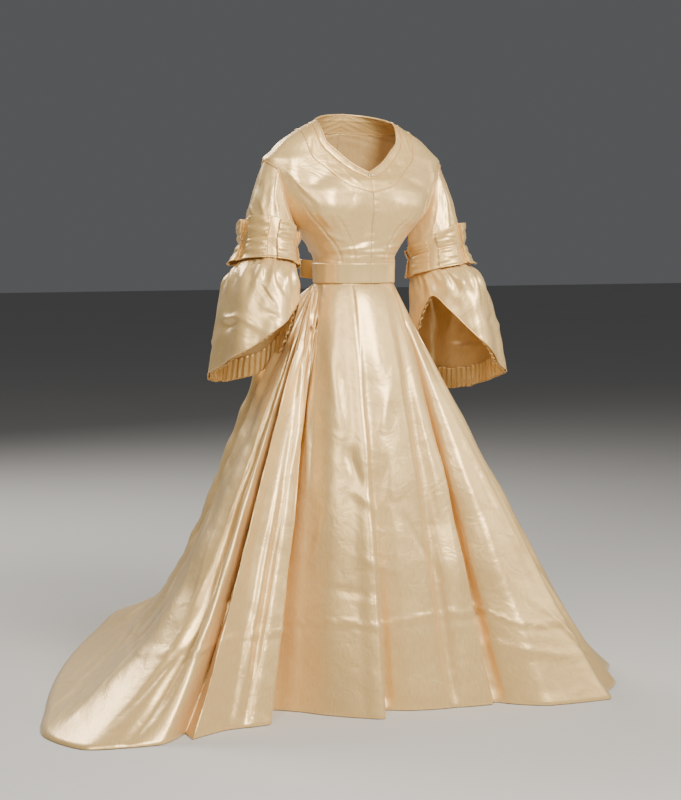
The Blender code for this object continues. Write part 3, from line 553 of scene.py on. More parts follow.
def uneven(across, down, cloth):
    """Unevenness of one kind of cloth: its height times the uneven field."""
    height, size, seed = UNEVENNESS[cloth]
    return height * unevenness(across, down, size, seed)


def lengths(grid, axis):
    """Metres along the cloth from its first row or column."""
    step = np.linalg.norm(np.diff(grid, axis=axis), axis=-1)
    zero = np.zeros_like(np.take(step, [0], axis=axis))
    return np.concatenate([zero, np.cumsum(step, axis=axis)], axis=axis)


def middle_of(grid, axis):
    """Metres along the cloth from its middle."""
    run = lengths(grid, axis)
    return run - np.take(run, [run.shape[axis] // 2], axis=axis)


def grid_faces(rows, columns):
    """Quads of a grid, turned so that they face away from the body."""
    index = np.arange(rows * columns).reshape(rows, columns)
    return np.stack([index[:-1, :-1], index[1:, :-1], index[1:, 1:], index[:-1, 1:]],
                    -1).reshape(-1, 4)


def add_sheet(name, grid, material, normal=None, flip=False, thickness=0.0):
    """A sheet of cloth over a grid of points, with its own map in metres of cloth."""
    rows, columns = grid.shape[:2]
    faces = grid_faces(rows, columns)
    if flip:
        faces = faces[:, ::-1]
    mesh = bpy.data.meshes.new(name)
    points = (grid - np.array((0.0, 0.0, SHOULDER_HEIGHT))).reshape(-1, 3)
    mesh.from_pydata(points.tolist(), [], faces.tolist())
    cloth = np.stack([middle_of(grid, 1), lengths(grid, 0)], -1).reshape(-1, 2)
    uv = mesh.uv_layers.new(name="cloth")
    uv.data.foreach_set("uv", cloth[faces.ravel()].ravel())
    mesh.materials.append(material)
    mesh.shade_smooth()
    if normal is not None:
        mesh.normals_split_custom_set_from_vertices(normal.reshape(-1, 3).tolist())
    mesh.update()
    piece = bpy.data.objects.new(name, mesh)
    bpy.context.scene.collection.objects.link(piece)
    if thickness > 0:
        wall = piece.modifiers.new("cloth thickness", "SOLIDIFY")
        wall.thickness = thickness
        wall.offset = -1.0
        wall.use_even_offset = False
    return piece


def add_cord(name, path, out, radius, material, sides=12, closed=False):
    """A cord: a circle carried along a path; out gives the side that it is laid on."""
    if closed:
        around = np.concatenate([path[-1:], path, path[:1]])
        along = (around[2:] - around[:-2])
    else:
        along = np.gradient(path, axis=0)
    along = along / np.linalg.norm(along, axis=1, keepdims=True)
    up = out - along * np.einsum("ij,ij->i", out, along)[:, None]
    up /= np.linalg.norm(up, axis=1, keepdims=True)
    side = np.cross(along, up)
    turn = np.linspace(0, 2 * np.pi, sides + 1)
    ring = (path[:, None] + radius * (np.cos(turn)[None, :, None] * up[:, None]
                                      + np.sin(turn)[None, :, None] * side[:, None]))
    if closed:
        ring = np.concatenate([ring, ring[:1]])
    piece = add_sheet(name, ring, material)
    merge_seams(piece)
    return piece


def merge_seams(piece):
    """Join points that lie on each other, close open ends and face the piece outwards."""
    work = bmesh.new()
    work.from_mesh(piece.data)
    bmesh.ops.remove_doubles(work, verts=work.verts, dist=1e-6)
    rims = [edge for edge in work.edges if edge.is_boundary]
    if rims:
        bmesh.ops.holes_fill(work, edges=rims, sides=0)
    bmesh.ops.recalc_face_normals(work, faces=work.faces)
    work.to_mesh(piece.data)
    work.free()


def add_node(tree, kind, settings=None, links=None):
    """A node with its settings, and links from sockets to its inputs."""
    node = tree.nodes.new(kind)
    for key, value in (settings or {}).items():
        if key in node.inputs:
            node.inputs[key].default_value = value
        else:
            setattr(node, key, value)
    for key, socket in (links or {}).items():
        tree.links.new(socket, node.inputs[key])
    return node


def satin(name, colour, deep, roughness, metallic, weave=0.0005, slub=0.35):
    """Silk satin: long floats of thread lie side by side and give a broad soft gloss."""
    material = bpy.data.materials.new(name)
    material.use_nodes = True
    tree = material.node_tree
    shader = tree.nodes["Principled BSDF"]
    place = add_node(tree, "ShaderNodeTexCoord").outputs["UV"]
    # Real floats are about 0.1 mm apart; they are drawn about ten times as wide to show at all.
    thread = add_node(tree, "ShaderNodeMapping", {"Scale": (1 / weave, 0.06 / weave, 1.0)},
                      {"Vector": place}).outputs["Vector"]
    floats = add_node(tree, "ShaderNodeTexNoise", {"Scale": 1.0, "Detail": 2.0,
                                                   "Roughness": 0.6}, {"Vector": thread})
    # Uneven weight of thread, in faint streaks some 3 mm wide and 20 mm long.
    streak = add_node(tree, "ShaderNodeMapping", {"Scale": (420.0, 45.0, 1.0)},
                      {"Vector": place}).outputs["Vector"]
    slubs = add_node(tree, "ShaderNodeTexNoise", {"Scale": 1.0, "Detail": 4.0}, {"Vector": streak})
    # Soft crumpling of worn silk, about 30 mm from one to the next.
    crumple = add_node(tree, "ShaderNodeTexNoise", {"Scale": 22.0, "Detail": 3.0,
                                                    "Roughness": 0.55, "Distortion": 0.6},
                       {"Vector": place})
    ramp = add_node(tree, "ShaderNodeValToRGB", links={"Fac": slubs.outputs["Fac"]})
    ramp.color_ramp.elements[0].position = 0.45 - slub
    ramp.color_ramp.elements[0].color = (*linear(deep), 1.0)
    ramp.color_ramp.elements[1].position = 0.72
    ramp.color_ramp.elements[1].color = (*colour, 1.0)
    tree.links.new(ramp.outputs["Color"], shader.inputs["Base Color"])
    gloss = add_node(tree, "ShaderNodeMapRange",
                     {"From Min": 0.3, "From Max": 0.7, "To Min": roughness - slub * 0.04,
                      "To Max": roughness + slub * 0.06}, {"Value": slubs.outputs["Fac"]})
    tree.links.new(gloss.outputs["Result"], shader.inputs["Roughness"])
    fine = add_node(tree, "ShaderNodeBump", {"Strength": 0.10 * slub / 0.35, "Distance": 0.0004},
                    {"Height": floats.outputs["Fac"]})
    soft = add_node(tree, "ShaderNodeBump", {"Strength": 0.12 + slub * 0.8, "Distance": 0.0045},
                    {"Height": crumple.outputs["Fac"], "Normal": fine.outputs["Normal"]})
    tree.links.new(soft.outputs["Normal"], shader.inputs["Normal"])
    shader.inputs["Metallic"].default_value = metallic
    shader.inputs["IOR"].default_value = 1.50
    shader.inputs["Sheen Weight"].default_value = 0.12
    shader.inputs["Sheen Roughness"].default_value = 0.4
    return material


def metal(name, colour, roughness):
    """Silver plate on a small hook: bright, worn a little dull in the hollows."""
    material = bpy.data.materials.new(name)
    material.use_nodes = True
    tree = material.node_tree
    shader = tree.nodes["Principled BSDF"]
    place = add_node(tree, "ShaderNodeTexCoord").outputs["Object"]
    wear = add_node(tree, "ShaderNodeTexNoise", {"Scale": 900.0, "Detail": 3.0},
                    {"Vector": place})
    gloss = add_node(tree, "ShaderNodeMapRange",
                     {"To Min": roughness * 0.7, "To Max": roughness * 1.6},
                     {"Value": wear.outputs["Fac"]})
    tree.links.new(gloss.outputs["Result"], shader.inputs["Roughness"])
    shader.inputs["Base Color"].default_value = (*colour, 1.0)
    shader.inputs["Metallic"].default_value = 1.0
    return material


def shared_material(name, make, *values):
    """The material of this name, made the first time that it is asked for."""
    found = bpy.data.materials.get(name)
    return found or make(name, *values)


# Colour of the deep parts of each satin.
DEEP_SATIN = "D9AE6C"
DEEP_PLEATED_SATIN = "D4A866"
DEEP_RIBBON = "E6C380"
DEEP_CORD = "D4AA6C"
# How much rougher or glossier than the dress's satin.
PLEATED_ROUGHER = 0.02
CORD_ROUGHER = 0.04
RIBBON_GLOSSIER = 0.03
RIBBON_WEAVE = 0.0005
RIBBON_SLUB = 0.04


def dress_satin():
    """Satin of the bodice, sleeves and skirt."""
    look = bpy.context.scene.dress_look
    return shared_material("ivory silk satin, woven", satin, tuple(look.satin), DEEP_SATIN,
                           look.satin_roughness, look.satin_metallic)


def pleated_satin():
    """Satin of the neck band, sleeve bands and frills, a little less glossy for its pressing."""
    look = bpy.context.scene.dress_look
    return shared_material("ivory silk satin, pressed in pleats", satin,
                           tuple(look.pleated_satin), DEEP_PLEATED_SATIN,
                           look.satin_roughness + PLEATED_ROUGHER, look.satin_metallic)


def ribbon_satin():
    """Ribbon of the belt and bow: glossier and more even than the dress's satin."""
    look = bpy.context.scene.dress_look
    return shared_material("satin ribbon, woven", satin, tuple(look.ribbon), DEEP_RIBBON,
                           look.satin_roughness - RIBBON_GLOSSIER, look.satin_metallic, RIBBON_WEAVE,
                           RIBBON_SLUB)


def cord_satin():
    """Satin cut on the bias round the piping's cord."""
    look = bpy.context.scene.dress_look
    return shared_material("satin bias over cord", satin, tuple(look.cord), DEEP_CORD,
                           look.satin_roughness + CORD_ROUGHER, look.satin_metallic)


def declare(piece, slot, nodes, flat, area, held, rests_on):
    """Let the piece ride on the frame and hide the nodes that it replaces."""
    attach(piece, "root")
    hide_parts(*nodes)


# Darts of half a bodice front: height, turn; they run from the waist up to the bust.
DARTS_FRONT = (
    ((1.000, 21.0), (1.060, 22.0), (1.100, 25.0), (1.148, 31.0)),
    ((1.000, 40.0), (1.050, 43.0), (1.090, 48.0), (1.128, 52.0), (1.168, 56.0)),
)
DARTS_BACK = (
    ((1.000, 160.0), (1.080, 161.0), (1.150, 157.0), (1.215, 145.0)),
    ((1.000, 138.0), (1.060, 139.0), (1.120, 134.0)),
)
DART_DEPTH = 0.0016
DART_WIDTH = 0.0028
DART_PUCKER = 0.0016
DART_PUCKER_WIDTH = 0.0085
DART_FADE_TOP = 0.035
DART_FADE_WAIST = 0.02
PUCKER_SPACING = 0.0115
PUCKER_FROM_DART = 0.007
# Creases of the bodice: metres round from the centre front, height, half length, half width,
# tilt from upright, height of the crease.
BODICE_CREASES = (
    (-0.078, 1.152, 0.042, 0.0380, 0.0, 0.0052),
    (0.072, 1.152, 0.042, 0.0380, 0.0, 0.0052),
    (0.000, 1.100, 0.034, 0.0400, 0.0, -0.0020),
    (-0.045, 1.052, 0.034, 0.0045, 84.0, 0.0016),
    (-0.040, 1.040, 0.040, 0.0040, 92.0, -0.0014),
    (0.010, 1.046, 0.045, 0.0045, 88.0, 0.0016),
    (0.020, 1.034, 0.050, 0.0035, 94.0, 0.0013),
    (0.055, 1.058, 0.030, 0.0045, 80.0, 0.0014),
    (-0.020, 1.068, 0.026, 0.0050, 78.0, -0.0012),
    (0.050, 1.082, 0.022, 0.0050, 66.0, 0.0010),
    (-0.070, 1.078, 0.026, 0.0055, 112.0, 0.0012),
    (-0.012, 1.095, 0.028, 0.0080, 10.0, -0.0012),
    (0.018, 1.120, 0.030, 0.0100, -18.0, 0.0012),
    (-0.030, 1.150, 0.034, 0.0110, 24.0, 0.0012),
    (-0.100, 1.130, 0.030, 0.0070, -32.0, 0.0016),
    (-0.125, 1.165, 0.032, 0.0070, -38.0, -0.0018),
    (-0.140, 1.195, 0.036, 0.0080, -30.0, 0.0018),
    (0.100, 1.135, 0.030, 0.0070, 34.0, 0.0016),
    (0.128, 1.168, 0.032, 0.0070, 40.0, -0.0018),
    (0.142, 1.198, 0.034, 0.0080, 30.0, 0.0018),
    (-0.090, 1.215, 0.030, 0.0110, 60.0, -0.0014),
    (0.085, 1.210, 0.028, 0.0100, 116.0, -0.0014),
    (-0.150, 1.235, 0.026, 0.0090, 20.0, 0.0014),
    (0.150, 1.232, 0.026, 0.0090, -16.0, 0.0014),
    (-0.085, 1.020, 0.024, 0.0040, 96.0, 0.0012),
    (0.085, 1.022, 0.024, 0.0040, 84.0, 0.0012),
    (0.200, 1.045, 0.040, 0.0045, 92.0, 0.0014),
    (-0.200, 1.048, 0.038, 0.0045, 86.0, 0.0014),
    (0.280, 1.060, 0.034, 0.0060, 80.0, -0.0012),
    (-0.275, 1.066, 0.036, 0.0060, 98.0, -0.0012),
    (0.250, 1.150, 0.034, 0.0090, 28.0, 0.0014),
    (-0.255, 1.145, 0.032, 0.0090, -30.0, 0.0014),
)
CLOSING_TURN = 3.5
CLOSING_STEP = 0.0012
CLOSING_SOFTNESS = 0.0009
CLOSING_WIDTH = 0.030
CLOSING_TOP = 1.200
CLOSING_TOP_FADE = 0.03
HOOK_SPACING = 0.019
HOOK_DENT = 0.0009
HOOK_FROM_EDGE = 0.006
HOOK_HALF_WIDTH = 0.004
HOOK_HALF_HEIGHT = 0.0035
BODICE_CREASE_STRENGTH = 1.9


def turn_metres(turn, height):
    """Metres round the bodice from the centre front, near enough: radius times angle."""
    wide = smooth(TORSO[:, 0], TORSO[:, 1], height)
    deep = 0.5 * (smooth(TORSO[:, 0], TORSO[:, 2], height)
                  + smooth(TORSO[:, 0], TORSO[:, 3], height))
    return np.radians(turn) * 0.5 * (wide + deep)


def bodice_relief(turn, height):
    """How far the bodice's cloth stands out or in: darts, closing, hooks and creases."""
    relief = np.zeros(np.broadcast(turn, height).shape)
    here = turn_metres(turn, height)
    for dart in DARTS_FRONT + DARTS_BACK:
        heights, turns = np.array(dart).T
        for side in (-1, 1):
            beside = here - turn_metres(side * smooth(heights, turns, height), height)
            ends = (np.clip((heights[-1] - height) / DART_FADE_TOP, 0, 1)
                    * np.clip((height - heights[0] + DART_FADE_WAIST) / DART_FADE_WAIST, 0, 1))
            pucker = 1 + 0.5 * np.sin(height * 2 * np.pi / PUCKER_SPACING + side * turns[0])
            relief -= DART_DEPTH * ends * np.exp(-(beside / DART_WIDTH) ** 2)
            relief += (DART_PUCKER * 0.5 * ends * pucker
                       * np.exp(-((np.abs(beside) - PUCKER_FROM_DART)
                                  / DART_PUCKER_WIDTH) ** 2))
    closing = here - turn_metres(CLOSING_TURN, height)
    step = 1 / (1 + np.exp(closing / CLOSING_SOFTNESS))
    fade = np.clip((closing + CLOSING_WIDTH) / CLOSING_WIDTH, 0, 1)
    low = np.clip((CLOSING_TOP - height) / CLOSING_TOP_FADE, 0, 1)
    relief += CLOSING_STEP * step * fade * low
    phase = (height - WAIST_SEAM) / HOOK_SPACING
    from_hook = (phase - np.round(phase)) * HOOK_SPACING
    relief -= (HOOK_DENT * low * np.exp(-((closing + HOOK_FROM_EDGE) / HOOK_HALF_WIDTH) ** 2
                                        - (from_hook / HOOK_HALF_HEIGHT) ** 2))
    relief += BODICE_CREASE_STRENGTH * bumps(here, height, BODICE_CREASES)
    relief += uneven(here, height, "bodice")
    return relief


def fine_rows(marks, count):
    """Evenly spaced shares with the marked shares among them."""
    return np.unique(np.round(np.concatenate([np.linspace(0, 1, count), marks]), 6))


def bodice_patch(back, columns=90, rows=150):
    """Turns and heights of half the bodice front or back, from the waist up.

    Its first edge is the centre line and then the neck seam, its last edge the side seam, the
    armhole and the shoulder seam; its short top edge is the neck seam beside the shoulder.
    """
    centre = 180.0 if back else 0.0
    table = NECK_BACK if back else NECK_FRONT
    u = np.linspace(0, 1, columns)
    v = fine_rows((UNDERARM_ROW, CENTRE_TOP, TIP_ROW), rows)
    bottom = np.stack([centre + (90 - centre) * u, WAIST_SEAM + 0 * u], 1)
    top = np.stack(neck_edge(table, NECK_SIDE_SHARE + (1 - NECK_SIDE_SHARE) * u, False, back), 1)
    along_neck = np.clip((v - CENTRE_TOP) / (1 - CENTRE_TOP), 0, 1) * NECK_SIDE_SHARE
    neck_turn, neck_height = neck_edge(table, along_neck, False, back)
    rise = np.clip(v / CENTRE_TOP, 0, 1)
    first = np.stack([neck_turn, np.where(v < CENTRE_TOP, WAIST_SEAM
                                          + rise * (neck_height[0] - WAIST_SEAM), neck_height)], 1)
    down_arm = np.clip((TIP_ROW - v) / (TIP_ROW - UNDERARM_ROW), 0, 1)
    arm_turn, arm_height = armhole_turns(down_arm, back)
    side_height = WAIST_SEAM + v / UNDERARM_ROW * (UNDERARM_HEIGHT - WAIST_SEAM)
    over = np.clip((v - TIP_ROW) / (1 - TIP_ROW), 0, 1)
    seam_height = SHOULDER_TIP_HEIGHT + over * (top[-1, 1] - SHOULDER_TIP_HEIGHT)
    height = np.where(v < UNDERARM_ROW, side_height,
                      np.where(v > TIP_ROW, seam_height, arm_height))
    turn = np.where((v < UNDERARM_ROW) | (v > TIP_ROW), 90.0, arm_turn)
    last = np.stack([turn, height], 1)
    return grid_between(bottom, top, first, last, u, v)


def on_torso(turn, height, lift=0.0):
    """Points of the torso with the bodice's relief, moved out by a lift."""
    relief = bodice_relief(turn, height) + lift
    return torso(turn, height) + torso_normal(turn, height) * relief[..., None]


def make_bodice_pieces():
    """Bodice fronts and backs, right and left, with the armholes' piping."""
    cloth = dress_satin()
    for back in (False, True):
        patch = bodice_patch(back)
        for side, word in ((1, "left"), (-1, "right")):
            name = f"bodice_{'back' if back else 'front'}_{word}"
            turn = patch[..., 0] * side
            grid = on_torso(turn, patch[..., 1])
            piece = add_sheet(name + "_cloth", grid[::-1], cloth, flip=(side < 0) != back,
                              thickness=CLOTH_THICKNESS)
            declare(piece, "satin", [name], *CUTS["bodice_back" if back else "bodice_front"],
                    "stretched", ["wearer"])
    angles = np.linspace(0, 360, 181)[:-1]
    for side, word in ((1, "left"), (-1, "right")):
        ring = armhole_ring(angles)
        out = armhole_out(angles)
        path = mirrored(ring + out * ARMHOLE_CORD_LIFT, side)
        cord = add_cord(f"armhole_cord_{word}", path, mirrored(out, side), ARMHOLE_CORD,
                        cord_satin(), closed=True)
        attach(cord, "root")


ARMHOLE_CORD = 0.0019
ARMHOLE_CORD_LIFT = 0.0008
NECK_CORDS = (
    # share of the way across the band from its outer edge, radius, how far it stands out
    (0.0, 0.0016, 0.0004),
    (0.74, 0.0014, 0.0002),
)
NECK_CREASES = (
    (-0.060, 0.020, 0.020, 0.0060, 70.0, 0.0010),
    (-0.020, 0.026, 0.018, 0.0050, 100.0, 0.0008),
    (0.050, 0.022, 0.022, 0.0055, 60.0, 0.0009),
    (0.110, 0.020, 0.020, 0.0060, 120.0, -0.0009),
    (0.190, 0.022, 0.024, 0.0065, 80.0, 0.0009),
    (0.280, 0.022, 0.022, 0.0065, 96.0, -0.0008),
)


NECK_GROOVE = 0.0009
NECK_GROOVE_SPREAD = 0.05
NECK_BAND_LIFT = 0.0002
NECK_PIPING_INWARD = 0.0018
NECK_PIPING_DOWN = 0.0006
CLASP_HEIGHT = 1.2245
CLASP_WIDTH = 0.012
CLASP_ARCH = 0.0012
CLASP_RADIUS = 0.0011
CLASP_STANDS_OUT = 0.0018
BEAD_RADIUS = 0.0024
BEAD_FROM_CENTRE = 0.0046
BEAD_RISE = 0.0005
BEAD_STANDS_OUT = 0.0034
SILVER_ROUGHNESS = 0.2


def neck_band_patch(count=120, across=28):
    """Turns and heights of the neck band, centre front over the shoulder to centre back."""
    share = np.linspace(0, 1, count)
    w = np.linspace(0, 1, across)[:, None]
    parts = []
    for table, back in ((NECK_FRONT, False), (NECK_BACK, True)):
        t0, h0 = neck_edge(table, share, False, back)
        t1, h1 = neck_edge(table, share, True, back)
        parts.append(np.stack([t0 + (t1 - t0) * w, h0 + (h1 - h0) * w], -1))
    return np.concatenate([parts[0], parts[1][:, -2::-1]], axis=1)


def make_neck_pieces():
    """Neck band halves with their three lines of piping."""
    patch = neck_band_patch()
    grid = torso(patch[..., 0], patch[..., 1])
    normal = torso_normal(patch[..., 0], patch[..., 1])
    w = np.linspace(0, 1, len(patch))
    relief = bumps(lengths(grid, 1), lengths(grid, 0), NECK_CREASES)
    for share, _, _ in NECK_CORDS:
        relief -= NECK_GROOVE * np.exp(-((w[:, None] - share) / NECK_GROOVE_SPREAD) ** 2)
    relief += uneven(lengths(grid, 1), lengths(grid, 0), "neck band")
    band = grid + normal * (relief + NECK_BAND_LIFT)[..., None]
    for side, word in ((1, "left"), (-1, "right")):
        piece = add_sheet(f"neck_band_{word}_cloth", mirrored(band, side), pleated_satin(),
                          flip=side > 0, thickness=CLOTH_THICKNESS)
        declare(piece, "pleated_satin", [f"neck_band_{word}"], *CUTS["neck_band"], "laid",
                [f"bodice_front_{word}"])
        inward = grid[-1] - grid[-2]
        inward = inward / np.linalg.norm(inward, axis=1, keepdims=True)
        path = mirrored(grid[-1] + inward * NECK_PIPING_INWARD
                        - normal[-1] * NECK_PIPING_DOWN, side)
        cord = add_cord(f"neckline_cord_{word}", path, mirrored(normal[-1], side),
                        NECK_PIPING_RADIUS, cord_satin())
        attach(cord, "root")
        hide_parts(f"neck_piping_{word}")
        for number, (share, radius, lift) in enumerate(NECK_CORDS):
            row = int(round(share * (len(w) - 1)))
            path = mirrored(grid[row] + normal[row] * lift, side)
            cord = add_cord(f"neck_band_cord_{number}_{word}", path,
                            mirrored(normal[row], side), radius, cord_satin())
            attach(cord, "root")


def ball(name, centre, radius, material):
    """A small bead: a circle's half turned once round."""
    tall = np.linspace(0, np.pi, 17)[:, None]
    turn = np.linspace(0, 2 * np.pi, 29)[None]
    grid = np.stack([np.sin(tall) * np.cos(turn), np.sin(tall) * np.sin(turn),
                     np.cos(tall) + 0 * turn], -1) * radius + centre
    piece = add_sheet(name, grid, material)
    merge_seams(piece)
    return piece


def make_clasp_pieces():
    """Hook bar and two beads that close the neck band."""
    centre = torso(np.array(0.0), np.array(CLASP_HEIGHT))
    out = torso_normal(np.array(0.0), np.array(CLASP_HEIGHT))
    look = bpy.context.scene.dress_look
    silver = shared_material("silvered brass, polished", metal, tuple(look.hook),
                             SILVER_ROUGHNESS)
    x = np.linspace(-CLASP_WIDTH / 2, CLASP_WIDTH / 2, 25)
    arch = CLASP_ARCH * np.cos(np.pi * x / CLASP_WIDTH)
    path = centre + np.stack([x, 0 * x, 0 * x], -1) + out * (CLASP_STANDS_OUT + arch[:, None])
    bar = add_cord("neck_clasp_bar", path, np.tile(out, (len(x), 1)), CLASP_RADIUS, silver)
    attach(bar, "root")
    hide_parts("neck_clasp")
    for number, shift in enumerate((-BEAD_FROM_CENTRE, BEAD_FROM_CENTRE)):
        place = centre + np.array((shift, 0, BEAD_RISE)) + out * BEAD_STANDS_OUT
        bead = ball(f"clasp_bead_{number}", place, BEAD_RADIUS, silver)
        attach(bead, "root")


# Creases of an upper sleeve: metres round from the outside (front positive), metres down.
SLEEVE_CREASES = (
    (0.030, 0.060, 0.045, 0.0080, 12.0, 0.0024),
    (0.062, 0.050, 0.050, 0.0070, 22.0, -0.0026),
    (0.085, 0.075, 0.040, 0.0070, 30.0, 0.0022),
    (-0.010, 0.075, 0.050, 0.0090, -8.0, -0.0022),
    (-0.045, 0.060, 0.045, 0.0080, -18.0, 0.0024),
    (-0.080, 0.060, 0.040, 0.0080, -24.0, -0.0022),
    (0.045, 0.110, 0.030, 0.0060, 40.0, 0.0018),
    (0.015, 0.125, 0.028, 0.0055, 66.0, 0.0018),
    (-0.030, 0.118, 0.030, 0.0060, 110.0, 0.0018),
    (0.120, 0.040, 0.030, 0.0060, 50.0, 0.0018),
    (-0.120, 0.042, 0.030, 0.0060, -46.0, 0.0018),
)
# Creases of a flounce: metres round from the outside (front positive), metres down.
FLOUNCE_CREASES = (
    (0.034, 0.202, 0.030, 0.0080, 80.0, 0.0060),
    (0.036, 0.219, 0.028, 0.0110, 84.0, -0.0060),
    (0.138, 0.150, 0.032, 0.0050, 38.0, -0.0048),
    (0.148, 0.158, 0.030, 0.0060, 38.0, 0.0030),
    (0.170, 0.118, 0.032, 0.0055, 28.0, -0.0044),
    (0.158, 0.205, 0.026, 0.0090, 66.0, -0.0034),
    (0.118, 0.095, 0.030, 0.0090, 12.0, 0.0042),
    (0.092, 0.110, 0.034, 0.0090, -8.0, -0.0040),
    (0.205, 0.130, 0.034, 0.0085, 20.0, 0.0036),
    (0.020, 0.060, 0.024, 0.0080, 10.0, 0.0040),
    (-0.020, 0.045, 0.030, 0.0110, 20.0, 0.0040),
    (0.100, 0.220, 0.030, 0.0080, 60.0, 0.0028),
    (-0.065, 0.120, 0.055, 0.0120, -20.0, 0.0044),
    (-0.130, 0.150, 0.060, 0.0130, -12.0, -0.0048),
    (-0.200, 0.130, 0.060, 0.0120, 14.0, 0.0048),
    (-0.100, 0.240, 0.034, 0.0080, 78.0, 0.0040),
    (-0.090, 0.256, 0.030, 0.0090, 80.0, -0.0040),
    (0.240, 0.090, 0.040, 0.0100, 30.0, 0.0034),
)
SLEEVE_COLUMNS = 200
SLEEVE_ROWS = 60
# Small gathers above the band's seam and below it: depth, distance from the seam, spread.
SLEEVE_GATHER = (0.0002, 0.058, 0.018)
FLOUNCE_GATHER = (0.0011, 0.062, 0.020)
LEFT_CREASE_SPREAD = 0.8
FLOUNCE_ROWS = 84


def ring_sheet(name, grid, side, material, flip=False, thickness=0.0):
    """A tube of cloth: its last column lies on its first and is joined to it."""
    piece = add_sheet(name, mirrored(grid, side), material, flip=flip != (side < 0),
                      thickness=thickness)
    work = bmesh.new()
    work.from_mesh(piece.data)
    bmesh.ops.remove_doubles(work, verts=work.verts, dist=1e-7)
    work.to_mesh(piece.data)
    work.free()
    return piece


def from_outside(grid, row):
    """Metres round a tube of cloth from its outer side, at one row; front is positive."""
    run = lengths(grid, 1)[row]
    return np.where(run > run[-1] / 2, run - run[-1], run)[None]


def ring_relief(grid, relief):
    """The grid moved out along its normals by the relief."""
    return grid + ring_normals(grid, 1.0) * relief[..., None]


def upper_sleeve_cloth(lower):
    """Upper sleeve from the armhole to the seam under the band, with its drag lines."""
    angles = np.linspace(0, 360, SLEEVE_COLUMNS + 1)
    inside = 0.5 - 0.5 * np.cos(np.radians(angles))
    length = np.linalg.norm(band_ring(angles, lower) - armhole_ring(angles), axis=-1)
    start = SLEEVE_START_INSIDE * inside / length
    grid = np.array([upper_sleeve(angles, start + (1 - start) * t, lower)
                     for t in np.linspace(0, 1, SLEEVE_ROWS)])
    around = from_outside(grid, -1)
    down = lengths(grid, 0)
    ends = np.sin(np.pi * np.linspace(0, 1, SLEEVE_ROWS))[:, None] ** 0.5
    relief = bumps(around, down, SLEEVE_CREASES) + uneven(around, down, "upper sleeve")
    gathers = np.cos(np.radians(angles) * 17) + 0.6 * np.cos(np.radians(angles) * 26 + 1.3)
    depth, above, spread = SLEEVE_GATHER
    low = np.exp(-((down[-1:] - down - above) / spread) ** 2)
    return ring_relief(grid, relief * ends + depth * gathers * low)


def flounce_cloth(hems, lower, crease_spread):
    """Bell flounce from the seam under the band to its slanted hem.

    The creases' places round the flounce are multiplied by the crease spread.
    """
    angles = np.linspace(0, 360, SLEEVE_COLUMNS + 1)
    a = np.radians(angles)
    hem = smooth(hems[:, 0], hems[:, 1], np.mod(angles + 30, 360) - 30)
    free = band_ring(angles, lower)[:, 2] - hem - BAND_DROP
    drops = [np.full(len(angles), FLOUNCE_START), np.full(len(angles), BAND_DROP / 2)]
    drops += [BAND_DROP + share * free for share in np.linspace(0, 1, FLOUNCE_ROWS)]
    grid = np.array([flounce(angles, drop, True, lower) for drop in drops])
    drops = np.array(drops)
    around = from_outside(grid, len(grid) // 2)
    down = lengths(grid, 0)
    table = [(crease[0] * crease_spread, *crease[1:]) for crease in FLOUNCE_CREASES]
    relief = bumps(around, down, table)
    below = np.clip((drops - BAND_DROP) / 0.02, 0, 1)
    gathers = np.cos(a * 23 + 0.7) + 0.7 * np.cos(a * 31 + 2.1)
    depth, under, spread = FLOUNCE_GATHER
    relief = relief * below + depth * gathers * np.exp(-((drops - under) / spread) ** 2)
    relief += uneven(around, down, "flounce") * below
    return ring_relief(grid, relief)


def hem_line(grid, back):
    """A line of the cloth a distance back from its hem, with its outward normals."""
    down = lengths(grid, 0)
    from_hem = down[-1] - down
    row = np.argmin(np.abs(from_hem - back), axis=0)
    column = np.arange(grid.shape[1])
    return grid[row, column], ring_normals(grid, 1.0)[row, column]


BOX_PLEAT = np.array([
    # share of one pleat's width, share of its height: floor, under-fold, lip, top, lip, under-fold
    (0.000, 0.00),
    (0.150, 0.03),
    (0.330, 0.00),
    (0.355, 0.12),
    (0.318, 0.55),
    (0.300, 0.92),
    (0.325, 1.00),
    (0.480, 1.02),
    (0.650, 1.00),
    (0.800, 1.02),
    (0.965, 1.00),
    (0.990, 0.92),
    (0.972, 0.55),
    (0.935, 0.12),
    (0.960, 0.00),
    (1.000, 0.00),
])


BAND_STAND = 1.35
BAND_FLARE = 0.010
BAND_FLARE_ANGLE = 28.0
BAND_FLARE_SPREAD = 32
BAND_THICKNESS = 0.0009
BAND_CRUMPLE = 0.0012
BAND_UNEVEN = 0.0010
BAND_STITCH = 0.70
BAND_STITCH_SPREAD = 0.06


